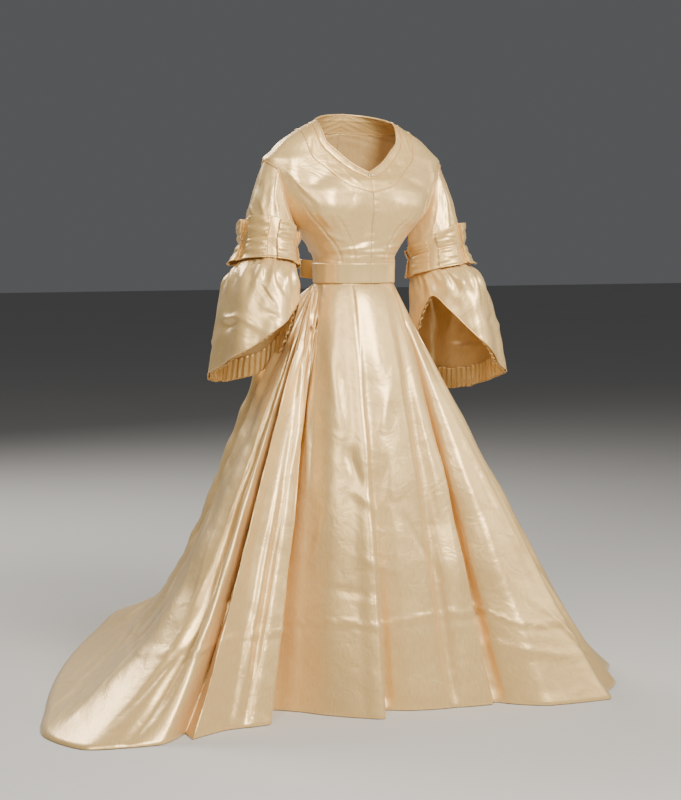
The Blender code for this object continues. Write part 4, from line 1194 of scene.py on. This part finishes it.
def sleeve_band_cloth(flare_at, lower, rows=46, per_pleat=40):
    """Box-pleated band: each pleat's lips stand over the folds under it.

    The pleat's profile gives, along its length, the place round the sleeve and the height.
    """
    run = np.linspace(0, len(BOX_PLEAT) - 1, per_pleat + 1)[:-1]
    knots = np.arange(len(BOX_PLEAT))
    place = np.interp(run, knots, BOX_PLEAT[:, 0])
    stand = smooth(knots, BOX_PLEAT[:, 1], run)
    turn = np.concatenate([(k + place) * 360 / BAND_PLEATS for k in range(BAND_PLEATS)]
                          + [np.array([360.0])])
    wave = np.concatenate([stand] * BAND_PLEATS + [np.array([0.0])])
    a = np.radians(turn)
    out = np.stack([np.cos(a), -np.sin(a), 0 * a], -1)
    rise = BAND_RISE + BAND_RISE_OUTSIDE * np.cos(a) + BAND_RISE_FRONT * np.sin(a)
    length = np.linalg.norm(band_ring(turn, lower) - armhole_ring(turn), axis=-1)
    inside = PLEAT_DEPTH_INSIDE + (1 - PLEAT_DEPTH_INSIDE) * (0.5 + 0.5 * np.cos(a))
    grid = []
    for level in np.linspace(-1, 1, rows):
        rim = abs(level)
        depth = PLEAT_DEPTH_MIDDLE + (PLEAT_DEPTH_RIM - PLEAT_DEPTH_MIDDLE) * rim ** 0.7
        stitch = 1 - BAND_STITCH * np.exp(-(level / BAND_STITCH_SPREAD) ** 2)
        lift = (CLOTH + BAND_CLEARANCE + BAND_RIM_SPREAD * rim ** 1.5 * inside
                + wave * inside * depth * stitch * BAND_STAND)
        outside = np.exp(-((np.mod(turn - flare_at + 180, 360) - 180)
                           / BAND_FLARE_SPREAD) ** 2)
        lift = lift + BAND_FLARE * outside * np.clip(-level, 0, 1) ** 1.6
        shift = BAND_UNEVEN * np.sin(turn / 360 * 2 * np.pi * 5 + 5 * level) * rim
        crumpled = np.clip(wave, 0, 1) * (1 - rim ** 4) * inside
        shift = shift + BAND_CRUMPLE * crumpled * (
            np.sin(13 * level + 0.09 * turn) + 0.6 * np.sin(23 * level - 0.13 * turn))
        if level > 0:
            base = upper_sleeve(turn, 1 - rise * level / length, lower)
        else:
            base = flounce(turn, np.full(len(turn), -BAND_DROP * level), False, lower)
        grid.append(base + out * (lift + shift)[:, None])
    return np.array(grid)


def frill_cloth(hem_grid, rows=12, per_pleat=8):
    """Finely pleated frill inside the hem, following the flounce's own inside.

    A pleat's one side is steeper than its other; below the hem the frill hangs straight on.
    """
    angles = np.linspace(0, 360, FRILL_PLEATS * per_pleat + 1)
    old = np.linspace(0, 360, hem_grid.shape[1])
    edge, _ = hem_line(hem_grid, 0.0)
    above, _ = hem_line(hem_grid, FRILL_LINE)
    down = edge - above
    down /= np.linalg.norm(down, axis=1, keepdims=True)
    share = np.mod(angles / 360 * FRILL_PLEATS, 1)
    wave = smooth((0.0, 0.16, 0.5, 0.66, 1.0), (-1.0, 0.2, 1.0, -0.2, -1.0), share)
    wave = wave * (1 + 0.18 * np.sin(angles * 0.21))
    grid = []
    for t in np.linspace(0, 1, rows):
        back = FRILL_HEIGHT * (1 - t) - FRILL_SHOWS * t
        base, out = hem_line(hem_grid, max(back, 0.0))
        base = base + down * max(-back, 0.0)
        base = np.stack([np.interp(angles, old, base[:, k]) for k in range(3)], -1)
        out = np.stack([np.interp(angles, old, out[:, k]) for k in range(3)], -1)
        depth = FRILL_DEPTH * (0.45 + 0.6 * t)
        inset = FRILL_INSET + FRILL_DEPTH * 1.1 - wave * depth
        ragged = FRILL_RAGGED * np.sin(np.radians(angles) * 11) * t
        grid.append(base - out * inset[:, None] - np.array((0, 0, 1.0)) * ragged[:, None])
    return np.array(grid)


def make_sleeve_pieces():
    """Both sleeves: upper sleeve, box-pleated band, bell flounce and inner frill."""
    for side, word in ((1, "left"), (-1, "right")):
        lower = LEFT_BAND_LOWER if side > 0 else RIGHT_BAND_LOWER
        hems = np.stack([HEM_ANGLES, LEFT_HEM if side > 0 else RIGHT_HEM], 1)
        halves = ("front", "back")
        piece = ring_sheet(f"sleeve_upper_{word}_cloth", upper_sleeve_cloth(lower), side,
                           dress_satin(), flip=True, thickness=CLOTH_THICKNESS)
        declare(piece, "satin", [f"sleeve_upper_{half}_{word}" for half in halves],
                *CUTS["sleeve_upper"], "hung", [f"bodice_front_{word}"])
        flounce_grid = flounce_cloth(hems, lower, LEFT_CREASE_SPREAD if side > 0 else 1.0)
        piece = ring_sheet(f"flounce_{word}_cloth", flounce_grid, side, dress_satin(),
                           flip=True, thickness=CLOTH_THICKNESS)
        declare(piece, "satin", [f"flounce_{half}_{word}" for half in halves],
                *CUTS["flounce"], "hung", [f"sleeve_upper_front_{word}"])
        path, out = hem_line(flounce_grid, 0.0)
        cord = add_cord(f"flounce_hem_cord_{word}", mirrored(path[:-1], side),
                        mirrored(out[:-1], side), FLOUNCE_CORD_RADIUS, cord_satin(),
                        closed=True)
        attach(cord, "root")
        piece = ring_sheet(f"frill_{word}_cloth", frill_cloth(flounce_grid), side,
                           pleated_satin(), flip=True, thickness=FRILL_THICKNESS)
        declare(piece, "pleated_satin", [f"frill_{half}_{word}" for half in halves],
                *CUTS["frill"], "gathered", [f"flounce_front_{word}"])
        band = sleeve_band_cloth(BAND_FLARE_ANGLE * side, lower)[::-1]
        piece = ring_sheet(f"sleeve_band_{word}_cloth", band, side, pleated_satin(), flip=True,
                           thickness=BAND_THICKNESS)
        declare(piece, "pleated_satin", [f"sleeve_band_{half}_{word}" for half in halves],
                *CUTS["sleeve_band"], "folded", [f"sleeve_upper_front_{word}"])


# Creases of the skirt: place in the fold table, share of the drop, half length, half width in
# metres, tilt from the fold's own line, height of the crease.
SKIRT_CREASES = (
    (14.7, 0.62, 0.480, 0.0140, 0.0, -0.0200),
    (10.0, 0.62, 0.420, 0.0120, 0.0, -0.0070),
    (8.0, 0.66, 0.400, 0.0160, 0.0, -0.0150),
    (12.6, 0.74, 0.300, 0.0100, 0.0, -0.0110),
    (12.1, 0.70, 0.300, 0.0120, 0.0, 0.0060),
    (20.1, 0.92, 0.240, 0.0120, 0.0, -0.0100),
    (26.3, 0.58, 0.380, 0.0150, 0.0, -0.0200),
    (23.0, 0.80, 0.340, 0.0150, 0.0, -0.0090),
    (30.0, 0.55, 0.340, 0.0170, 0.0, -0.0120),
    (32.0, 0.55, 0.380, 0.0180, 0.0, -0.0160),
    (34.0, 0.55, 0.380, 0.0180, 0.0, -0.0160),
    (18.2, 0.44, 0.050, 0.0140, 20.0, -0.0040),
    (20.6, 0.45, 0.045, 0.0120, -15.0, -0.0035),
    (18.9, 0.51, 0.050, 0.0130, 60.0, 0.0030),
    (21.0, 0.30, 0.090, 0.0150, -20.0, 0.0030),
    (17.3, 0.25, 0.110, 0.0160, 10.0, 0.0034),
    (22.0, 0.62, 0.080, 0.0120, 30.0, -0.0034),
    (16.6, 0.60, 0.090, 0.0140, -12.0, 0.0030),
    (19.6, 0.66, 0.060, 0.0110, 72.0, 0.0024),
    (18.0, 0.72, 0.060, 0.0100, 84.0, -0.0022),
    (23.5, 0.45, 0.160, 0.0140, 4.0, -0.0050),
    (24.6, 0.60, 0.180, 0.0140, -3.0, 0.0040),
    (25.5, 0.40, 0.150, 0.0120, 2.0, -0.0040),
    (28.6, 0.50, 0.200, 0.0120, 3.0, 0.0040),
    (29.6, 0.66, 0.160, 0.0130, -6.0, -0.0050),
    (30.6, 0.76, 0.140, 0.0120, 10.0, 0.0050),
    (29.2, 0.86, 0.100, 0.0120, 40.0, 0.0040),
    (31.2, 0.60, 0.130, 0.0120, -14.0, 0.0040),
    (30.2, 0.90, 0.080, 0.0100, 66.0, -0.0035),
    (28.1, 0.88, 0.090, 0.0100, 78.0, 0.0028),
    (5.6, 0.62, 0.130, 0.0160, 24.0, 0.0036),
    (5.0, 0.50, 0.120, 0.0150, -22.0, -0.0036),
    (4.9, 0.72, 0.120, 0.0140, 40.0, 0.0036),
    (5.2, 0.82, 0.100, 0.0130, -35.0, -0.0036),
    (4.5, 0.90, 0.110, 0.0140, 55.0, 0.0036),
    (5.7, 0.90, 0.090, 0.0120, 30.0, 0.0030),
    (4.6, 0.40, 0.100, 0.0130, 30.0, 0.0030),
    (4.2, 0.62, 0.100, 0.0140, -30.0, -0.0036),
    (6.8, 0.70, 0.120, 0.0110, 8.0, 0.0040),
    (7.4, 0.85, 0.100, 0.0100, -10.0, -0.0040),
    (9.0, 0.55, 0.140, 0.0120, 6.0, 0.0040),
    (8.9, 0.80, 0.110, 0.0120, -8.0, 0.0040),
    (11.6, 0.60, 0.140, 0.0110, 3.0, -0.0040),
    (12.2, 0.85, 0.100, 0.0110, 14.0, 0.0036),
    (13.2, 0.40, 0.100, 0.0100, -6.0, 0.0036),
    (12.6, 0.22, 0.080, 0.0090, 4.0, 0.0050),
    (13.5, 0.16, 0.080, 0.0080, 3.0, -0.0050),
    (11.8, 0.16, 0.090, 0.0080, -4.0, 0.0050),
    (10.6, 0.14, 0.080, 0.0080, 2.0, -0.0050),
    (9.6, 0.18, 0.090, 0.0080, 5.0, 0.0050),
    (12.1, 0.12, 0.090, 0.0050, 3.0, 0.0060),
    (12.9, 0.11, 0.080, 0.0045, -3.0, -0.0060),
    (14.1, 0.13, 0.080, 0.0050, 4.0, 0.0050),
    (10.1, 0.13, 0.080, 0.0050, 3.0, 0.0060),
    (11.2, 0.11, 0.080, 0.0050, 0.0, -0.0060),
    (15.6, 0.34, 0.110, 0.0070, 6.0, 0.0040),
    (27.4, 0.14, 0.070, 0.0080, 4.0, 0.0040),
    (28.6, 0.16, 0.080, 0.0080, -3.0, -0.0040),
    (30.2, 0.18, 0.090, 0.0090, 4.0, 0.0045),
    (31.8, 0.20, 0.090, 0.0090, -5.0, -0.0045),
    (33.2, 0.45, 0.180, 0.0150, 6.0, 0.0060),
    (34.6, 0.60, 0.160, 0.0140, -8.0, -0.0060),
    (35.6, 0.40, 0.170, 0.0150, 8.0, 0.0060),
    (36.6, 0.70, 0.150, 0.0150, 20.0, 0.0060),
    (38.0, 0.50, 0.190, 0.0170, -10.0, -0.0070),
    (39.2, 0.76, 0.160, 0.0160, 24.0, 0.0070),
    (40.4, 0.55, 0.200, 0.0170, 8.0, 0.0070),
    (41.3, 0.86, 0.140, 0.0150, -26.0, -0.0070),
    (1.0, 0.60, 0.190, 0.0170, -8.0, 0.0070),
    (2.2, 0.80, 0.160, 0.0160, 22.0, -0.0070),
    (3.0, 0.52, 0.180, 0.0160, 10.0, 0.0070),
    (3.7, 0.78, 0.150, 0.0150, -18.0, 0.0060),
    (1.8, 0.92, 0.130, 0.0150, 60.0, 0.0060),
    (40.0, 0.93, 0.130, 0.0150, 70.0, -0.0060),
)
# Line where the hem's inner facing ends and creases the cloth: place, share of the drop.
FACING_LINE = np.array([
    (0.0, 0.900), (3.0, 0.880), (5.0, 0.850), (8.0, 0.830), (12.0, 0.805), (15.7, 0.797),
    (17.4, 0.789), (20.0, 0.802), (21.9, 0.787), (26.4, 0.784), (28.3, 0.820), (30.7, 0.805),
    (34.0, 0.820), (38.0, 0.860), (42.0, 0.900),
])
FACING_HEIGHT = 0.0019
FACING_HALF_WIDTH = 0.006
FACING_WAVE = 0.05
FACING_SEED = 21
FACING_HOLLOW = 0.0008
FACING_HOLLOW_BELOW = 0.014
FACING_HOLLOW_HALF_WIDTH = 0.008
# Where the train's creases start: places of the fold table from its middle, and their fade.
TRAIN_FROM_MIDDLE = 14.5
TRAIN_FADE = 2.5
SKIRT_STEPS = 17
SKIRT_ROWS = 150
HEM_ROLL = 0.0011


def skirt_places():
    """Places along the fold table, evenly split between its rows."""
    return np.linspace(0, len(FOLDS) - 1, (len(FOLDS) - 1) * SKIRT_STEPS + 1)


def skirt_cloth():
    """Skirt and train with creases, and its hem turned up inside; points and normals."""
    places = skirt_places()
    shares = np.linspace(0, 1, SKIRT_ROWS) ** 1.25
    grid = skirt_grid(places, shares)
    share = np.concatenate([[0.0], shares])[:, None]
    run = lengths(grid, 1)
    per_place = np.gradient(run, places, axis=1)
    drop = lengths(grid, 0)
    total = drop[-1:]
    once_round = len(FOLDS) - 1.0
    relief = np.zeros(grid.shape[:2])
    for place, at, half_length, half_width, tilt, height in SKIRT_CREASES:
        away = places[None] - place
        for turn in (-once_round, 0.0, once_round):
            across = (away + turn) * per_place
            down = (share - at) * total
            near = np.abs(away + turn) < 4
            part = bumps(across, down, ((0.0, 0.0, half_length, half_width, tilt, height),))
            relief += np.where(near, part, 0)
    line = smooth(FACING_LINE[:, 0], FACING_LINE[:, 1], places)[None]
    away = (share - line) * total
    rough = unevenness(run, drop, FACING_WAVE, FACING_SEED)
    relief += (FACING_HEIGHT * (1 + 0.8 * rough)
               * np.exp(-((away + 0.003 * rough) / FACING_HALF_WIDTH) ** 2))
    relief -= FACING_HOLLOW * np.exp(-((away - FACING_HOLLOW_BELOW)
                                       / FACING_HOLLOW_HALF_WIDTH) ** 2)
    middle = run - run[:, [run.shape[1] // 2]]
    relief += uneven(middle, drop, "skirt, broad") * np.clip(share * 6, 0, 1)
    relief += uneven(middle, drop, "skirt, fine") * np.clip(share * 4, 0, 1)
    train = np.clip((np.abs(places - once_round / 2) - TRAIN_FROM_MIDDLE) / TRAIN_FADE,
                    0, 1)[None] * np.clip(share * 3, 0, 1)
    relief += uneven(middle, drop, "train, broad") * train
    relief += uneven(middle, drop, "train, fine") * train
    ends = np.clip((1 - share) / 0.03, 0, 1) * 0.75 + 0.25
    fading = np.clip(share / 0.02, 0, 1)
    normal = ring_normals(grid, -1.0)
    push = normal * (relief * ends * fading)[..., None]
    push[-1, :, 2] = 0.0
    grid = grid + push
    level = ring_normals(grid, -1.0)[-1] * np.array((1.0, 1.0, 0.0))
    level /= np.linalg.norm(level, axis=-1, keepdims=True)
    roll = []
    for turn in np.linspace(0, np.pi, 7)[1:]:
        roll.append(grid[-1] - level * HEM_ROLL * (1 - np.cos(turn))
                    - np.array((0.0, 0.0, HEM_ROLL * np.sin(turn))))
    for row in (-3, -5, -8):
        roll.append(grid[row] - ring_normals(grid, -1.0)[row] * HEM_ROLL * 2)
    grid = np.concatenate([grid, np.array(roll)])
    return places, grid, ring_normals(grid, -1.0)


def make_skirt_pieces():
    """Skirt front, sides and backs with the train, cut from one folded surface."""
    places, grid, normal = skirt_cloth()
    for name, start, end in SKIRT_PANELS:
        first = int(np.argmin(np.abs(places - start)))
        last = int(np.argmin(np.abs(places - end)))
        columns = slice(first, last + 1)
        piece = add_sheet(name + "_cloth", grid[:, columns], dress_satin(),
                          normal=normal[:, columns])
        declare(piece, "satin", [name], *CUTS[name], "gathered", ["belt_left"])


def belt_cloth():
    """Half of the ribbon belt, centre front to centre back, over the bodice's own form."""
    turn = np.linspace(0, 180, 181)[None]
    height = np.linspace(BELT_BOTTOM, BELT_TOP, 24)[:, None]
    flat = np.maximum(height, WAIST_SEAM)
    grid = torso(turn + 0 * height, flat + 0 * turn)
    grid[..., 2] = height
    normal = torso_normal(turn, np.full_like(turn, WAIST_SEAM)) + 0 * grid
    wave = (0.0007 * np.sin(np.radians(turn) * 9 + 0.6) + 0.0005 * np.sin(np.radians(turn) * 17)
            + 0.0004 * np.sin(np.radians(turn) * 5 + height * 60))
    edge = (np.exp(-((height - BELT_TOP) / BELT_EDGE) ** 2)
            + np.exp(-((height - BELT_BOTTOM) / BELT_EDGE) ** 2))
    lift = BELT_CLEARANCE + BELT_LIFT + wave - 0.0005 * edge
    return grid + normal * lift[..., None]


def bow_back():
    """Depth of the belt's outer side at the centre back, where the bow lies on it."""
    return smooth(TORSO[:, 0], TORSO[:, 3], BELT_TOP) + BELT_CLEARANCE + RIBBON + BOW_CLEARANCE


def bow_loop_cloth():
    """One open loop of the bow: a flat oval in plan, pinched where the knot holds it."""
    back = bow_back()
    start = KNOT_WIDTH / 2 - BOW_GAP
    a = np.radians(np.linspace(-172, 172, 121))
    x = start + BOW_LOOP_LENGTH * (0.5 + 0.5 * np.cos(a))
    full = np.sin(np.clip(np.abs(a), 0, np.pi)) ** 0.7 * 0.5 + 0.12
    y = back + BOW_LOOP_DEPTH * (0.62 + np.sign(a) * full * 0.95)
    smoother = np.convolve(np.pad(y, 6, mode="edge"), np.ones(13) / 13, mode="valid")
    away = np.clip((x - start) / BOW_LOOP_LENGTH, 0, 1)
    tall = BOW_HEIGHT * (0.80 + 0.20 * np.clip(away * 3, 0, 1))
    grid = []
    for level in np.linspace(-1, 1, 28):
        crease = BOW_CREASE * np.cos(level * 3 * np.pi) * np.clip(1 - away * 1.6, 0, 1)
        height = BELT_MIDDLE + BOW_RISE * away + level * tall / 2
        grid.append(np.stack([x + 0 * a, smoother + crease * np.sign(a), height], -1))
    return np.array(grid)


def bow_knot_cloth():
    """The knot: a short band of ribbon round the bow's middle, in soft folds."""
    back = bow_back()
    a = np.radians(np.linspace(0, 180, 61))
    grid = []
    for level in np.linspace(-1, 1, 24):
        fold = KNOT_FOLD * np.cos(np.degrees(a) / 180 * 5 * np.pi + level)
        x = (KNOT_WIDTH / 2 + fold * 0.5) * rounded(np.cos(a))
        y = back + BOW_GAP + (KNOT_DEPTH + fold - KNOT_HOLLOW * level ** 2) * rounded(np.sin(a))
        grid.append(np.stack([x, y, BELT_MIDDLE + level * KNOT_HEIGHT / 2 + 0 * a], -1))
    return np.array(grid)


def along_ribbon(grid):
    """The same points with rows along the ribbon, so that its threads run lengthwise."""
    return grid.transpose(1, 0, 2)


def make_belt_pieces():
    """Ribbon belt in two halves, and the bow at the centre back."""
    grid = belt_cloth()
    for side, word in ((1, "left"), (-1, "right")):
        piece = add_sheet(f"belt_{word}_cloth", along_ribbon(mirrored(grid, side)),
                          ribbon_satin(), flip=side < 0, thickness=RIBBON_THICKNESS)
        declare(piece, "ribbon", [f"belt_{word}"], *CUTS["belt"], "stretched",
                [f"bodice_front_{word}"])
        piece = add_sheet(f"bow_loop_{word}_cloth",
                          along_ribbon(mirrored(bow_loop_cloth(), side)),
                          ribbon_satin(), flip=side < 0, thickness=RIBBON_THICKNESS)
        declare(piece, "ribbon", [f"bow_loop_{word}"], *CUTS["bow_loop"], "folded",
                [f"belt_{word}"])
    piece = add_sheet("bow_knot_cloth", along_ribbon(bow_knot_cloth()), ribbon_satin(),
                      thickness=RIBBON_THICKNESS)
    declare(piece, "ribbon", ["bow_knot"], *CUTS["bow_knot"], "folded", ["belt_left"])


FLOOR_HALF_SIZE = 30.0
FLOOR_DARK = "B9B7B3"
FLOOR_LIGHT = "BFBDB9"
CLOTH_THICKNESS = 0.0012
CUTS = {
    # piece: flat width and length of the cut in metres, flat area in square metres
    "bodice_front": ((0.235, 0.350), 0.0575),
    "bodice_back": ((0.245, 0.350), 0.0733),
    "neck_band": ((0.150, 0.270), 0.0197),
    "sleeve_upper": ((0.420, 0.175), 0.0481),
    "flounce": ((0.930, 0.330), 0.1750),
    "frill": ((0.880, 0.056), 0.0455),
    "sleeve_band": ((0.600, 0.090), 0.0510),
    "skirt_front": ((0.680, 1.060), 0.4990),
    "skirt_side_right": ((1.200, 1.120), 0.6900),
    "skirt_side_left": ((1.250, 1.150), 0.8500),
    "skirt_back_right": ((1.500, 1.620), 1.0750),
    "skirt_back_left": ((1.450, 1.640), 1.0450),
    "belt": ((0.047, 0.300), None),
    "bow_loop": ((0.043, 0.180), None),
    "bow_knot": ((0.046, 0.083), None),
}
CAMERA_TURN = -28.0
CAMERA_DISTANCE = 5.0
CAMERA_HEIGHT = 1.10
FOCUS_PIXELS = 2075.0
AXIS_PIXEL = (353.0, 229.0)
PICTURE = (681, 800)
SENSOR_HEIGHT = 36.0
# Lights: name, place, target, width and height, share of the key light's power, colour.
LIGHTS = (
    ("key light", (0.2, -2.5, 1.25), (0.0, 0.0, -0.3), (1.1, 1.3), 1.0, (1.0, 0.97, 0.91)),
    ("left light", (-2.0, -2.2, 1.20), (0.0, 0.0, -0.3), (0.9, 1.5), 0.36, (1.0, 0.96, 0.89)),
    ("side light", (2.3, -2.3, 1.0), (0.0, 0.0, -0.3), (0.7, 1.5), 0.14, (1.0, 0.97, 0.92)),
    ("fill light", (3.2, -1.2, 0.5), (0.0, 0.2, -0.6), (1.4, 2.2), 0.06, (0.92, 0.96, 1.0)),
    ("back light", (-0.8, 3.6, 2.0), (0.0, 0.2, -0.4), (2.4, 1.6), 1.30, (1.0, 0.97, 0.92)),
)
SURROUNDINGS_COLOUR = (0.80, 0.82, 0.86, 1.0)


def make_camera():
    """Camera at the photo's angle: 5 m from the dress, level with the elbow, looking down."""
    a = np.radians(CAMERA_TURN)
    place = np.array((CAMERA_DISTANCE * np.sin(a), -CAMERA_DISTANCE * np.cos(a),
                      CAMERA_HEIGHT - SHOULDER_HEIGHT))
    tilt = np.arctan((PICTURE[1] / 2 - AXIS_PIXEL[1]) / FOCUS_PIXELS)
    pan = np.arctan((PICTURE[0] / 2 - AXIS_PIXEL[0]) / FOCUS_PIXELS)
    ahead = np.array((-np.sin(a), np.cos(a), 0.0))
    right = np.array((np.cos(a), np.sin(a), 0.0))
    level = ahead * np.cos(pan) + right * np.sin(pan)
    look = level * np.cos(tilt) - np.array((0.0, 0.0, 1.0)) * np.sin(tilt)
    data = bpy.data.cameras.new("photo_camera")
    data.sensor_fit = "VERTICAL"
    data.sensor_height = SENSOR_HEIGHT
    data.lens = FOCUS_PIXELS * SENSOR_HEIGHT / PICTURE[1]
    camera = bpy.data.objects.new("photo_camera", data)
    camera.rotation_euler = Vector(look).to_track_quat("-Z", "Y").to_euler()
    camera.location = Vector(place)
    bpy.context.scene.collection.objects.link(camera)
    bpy.context.scene.camera = camera


def add_light(name, place, target, size, power, colour):
    """A soft rectangular light that points at a target."""
    data = bpy.data.lights.new(name, "AREA")
    data.shape = "RECTANGLE"
    data.size, data.size_y = size
    data.energy = power
    data.color = colour
    light = bpy.data.objects.new(name, data)
    light.location = place
    light.visible_camera = False
    light.rotation_euler = (Vector(target) - Vector(place)).to_track_quat("-Z", "Y").to_euler()
    bpy.context.scene.collection.objects.link(light)


def floor_material():
    """Matt painted board: pale, without gloss, with a trace of unevenness."""
    material = bpy.data.materials.new("painted board, matt")
    material.use_nodes = True
    tree = material.node_tree
    shader = tree.nodes["Principled BSDF"]
    place = add_node(tree, "ShaderNodeTexCoord").outputs["Object"]
    cloud = add_node(tree, "ShaderNodeTexNoise", {"Scale": 0.8, "Detail": 3.0}, {"Vector": place})
    ramp = add_node(tree, "ShaderNodeValToRGB", links={"Fac": cloud.outputs["Fac"]})
    ramp.color_ramp.elements[0].color = (*linear(FLOOR_DARK), 1.0)
    ramp.color_ramp.elements[1].color = (*linear(FLOOR_LIGHT), 1.0)
    tree.links.new(ramp.outputs["Color"], shader.inputs["Base Color"])
    shader.inputs["Roughness"].default_value = 0.8
    shader.inputs["Specular IOR Level"].default_value = 0.2
    return material


def make_stage_pieces():
    """Plain pale floor, soft lights, dim surroundings and the camera."""
    look = bpy.context.scene.dress_look
    along = np.linspace(-FLOOR_HALF_SIZE, FLOOR_HALF_SIZE, 9)
    x, y = np.meshgrid(along, along)
    grid = np.stack([x, y, 0 * x], -1)
    floor = add_sheet("floor", grid, floor_material())
    for name, place, target, size, share, colour in LIGHTS:
        add_light(name, place, target, size, look.key_power * share, colour)
    world = bpy.data.worlds.new("soft surroundings")
    world.use_nodes = True
    background = world.node_tree.nodes["Background"]
    background.inputs["Color"].default_value = SURROUNDINGS_COLOUR
    background.inputs["Strength"].default_value = look.surroundings
    bpy.context.scene.world = world
    make_camera()


def colour_property(name, words, code):
    """A colour setting whose default is an sRGB hex colour."""
    return bpy.props.FloatVectorProperty(name=name, description=words, subtype="COLOR", size=3,
                                         min=0.0, max=1.0, default=linear(code))


class DressLook(bpy.types.PropertyGroup):
    """Colours, gloss and light of the dress."""

    satin: colour_property("Satin", "Colour of the dress satin", "E9C786")
    pleated_satin: colour_property("Pleated satin", "Colour of bands and frills", "E5C07A")
    ribbon: colour_property("Ribbon", "Colour of the belt and bow", "E8C686")
    cord: colour_property("Piping", "Colour of the piping", "E0B97B")
    hook: colour_property("Clasp", "Colour of the neck clasp", "E8E4DA")
    satin_roughness: bpy.props.FloatProperty(
        name="Satin roughness", description="Lower is glossier", min=0.0, max=1.0, default=0.33)
    satin_metallic: bpy.props.FloatProperty(
        name="Satin gloss tint", description="How far the gloss takes the thread's colour",
        min=0.0, max=1.0, default=0.40)
    key_power: bpy.props.FloatProperty(
        name="Key light", description="Power of the main light", min=0.0, default=160.0,
        unit="POWER")
    surroundings: bpy.props.FloatProperty(
        name="Surroundings", description="Brightness of the room", min=0.0, default=0.12)


class MakeBodice(bpy.types.Operator):
    """Make the bodice fronts and backs with the piping of the armholes"""

    bl_idname = "dress.bodice"
    bl_label = "Bodice"

    def execute(self, context):
        make_bodice_pieces()
        return {"FINISHED"}


class MakeNeck(bpy.types.Operator):
    """Make the neck band with its piping"""

    bl_idname = "dress.neck_band"
    bl_label = "Neck band"

    def execute(self, context):
        make_neck_pieces()
        return {"FINISHED"}


class MakeClasp(bpy.types.Operator):
    """Make the hook bar and beads at the centre front"""

    bl_idname = "dress.clasp"
    bl_label = "Neck clasp"

    def execute(self, context):
        make_clasp_pieces()
        return {"FINISHED"}


class MakeSleeves(bpy.types.Operator):
    """Make the upper sleeves, pleated bands, flounces and frills"""

    bl_idname = "dress.sleeves"
    bl_label = "Sleeves"

    def execute(self, context):
        make_sleeve_pieces()
        return {"FINISHED"}


class MakeSkirt(bpy.types.Operator):
    """Make the skirt's five panels with the train"""

    bl_idname = "dress.skirt"
    bl_label = "Skirt and train"

    def execute(self, context):
        make_skirt_pieces()
        return {"FINISHED"}


class MakeBelt(bpy.types.Operator):
    """Make the ribbon belt and its bow"""

    bl_idname = "dress.belt"
    bl_label = "Belt and bow"

    def execute(self, context):
        make_belt_pieces()
        return {"FINISHED"}


class MakeStage(bpy.types.Operator):
    """Make the pale floor, the lights and the camera"""

    bl_idname = "dress.stage"
    bl_label = "Stage"

    def execute(self, context):
        make_stage_pieces()
        return {"FINISHED"}


OPERATORS = (MakeBodice, MakeNeck, MakeClasp, MakeSleeves, MakeSkirt, MakeBelt, MakeStage)


class DressPanel(bpy.types.Panel):
    """Lists the pieces of the dress and its colours"""

    bl_idname = "VIEW3D_PT_dress"
    bl_label = "Satin wedding dress"
    bl_space_type = "VIEW_3D"
    bl_region_type = "UI"
    bl_category = "Dress"

    def draw(self, context):
        look = context.scene.dress_look
        for name in DressLook.__annotations__:
            self.layout.prop(look, name)
        for step in OPERATORS:
            self.layout.operator(step.bl_idname)


def register():
    """Register the classes and the dress's settings."""
    for item in (DressLook, DressPanel) + OPERATORS:
        bpy.utils.register_class(item)
    bpy.types.Scene.dress_look = bpy.props.PointerProperty(type=DressLook)


def unregister():
    """Take the classes and settings out again."""
    del bpy.types.Scene.dress_look
    for item in (DressLook, DressPanel) + OPERATORS:
        bpy.utils.unregister_class(item)


def main():
    """Make every piece in order."""
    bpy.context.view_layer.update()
    register()
    bpy.ops.dress.bodice()
    bpy.ops.dress.neck_band()
    bpy.ops.dress.clasp()
    bpy.ops.dress.sleeves()
    bpy.ops.dress.skirt()
    bpy.ops.dress.belt()
    bpy.ops.dress.stage()


if __name__ == "__main__":
    main()
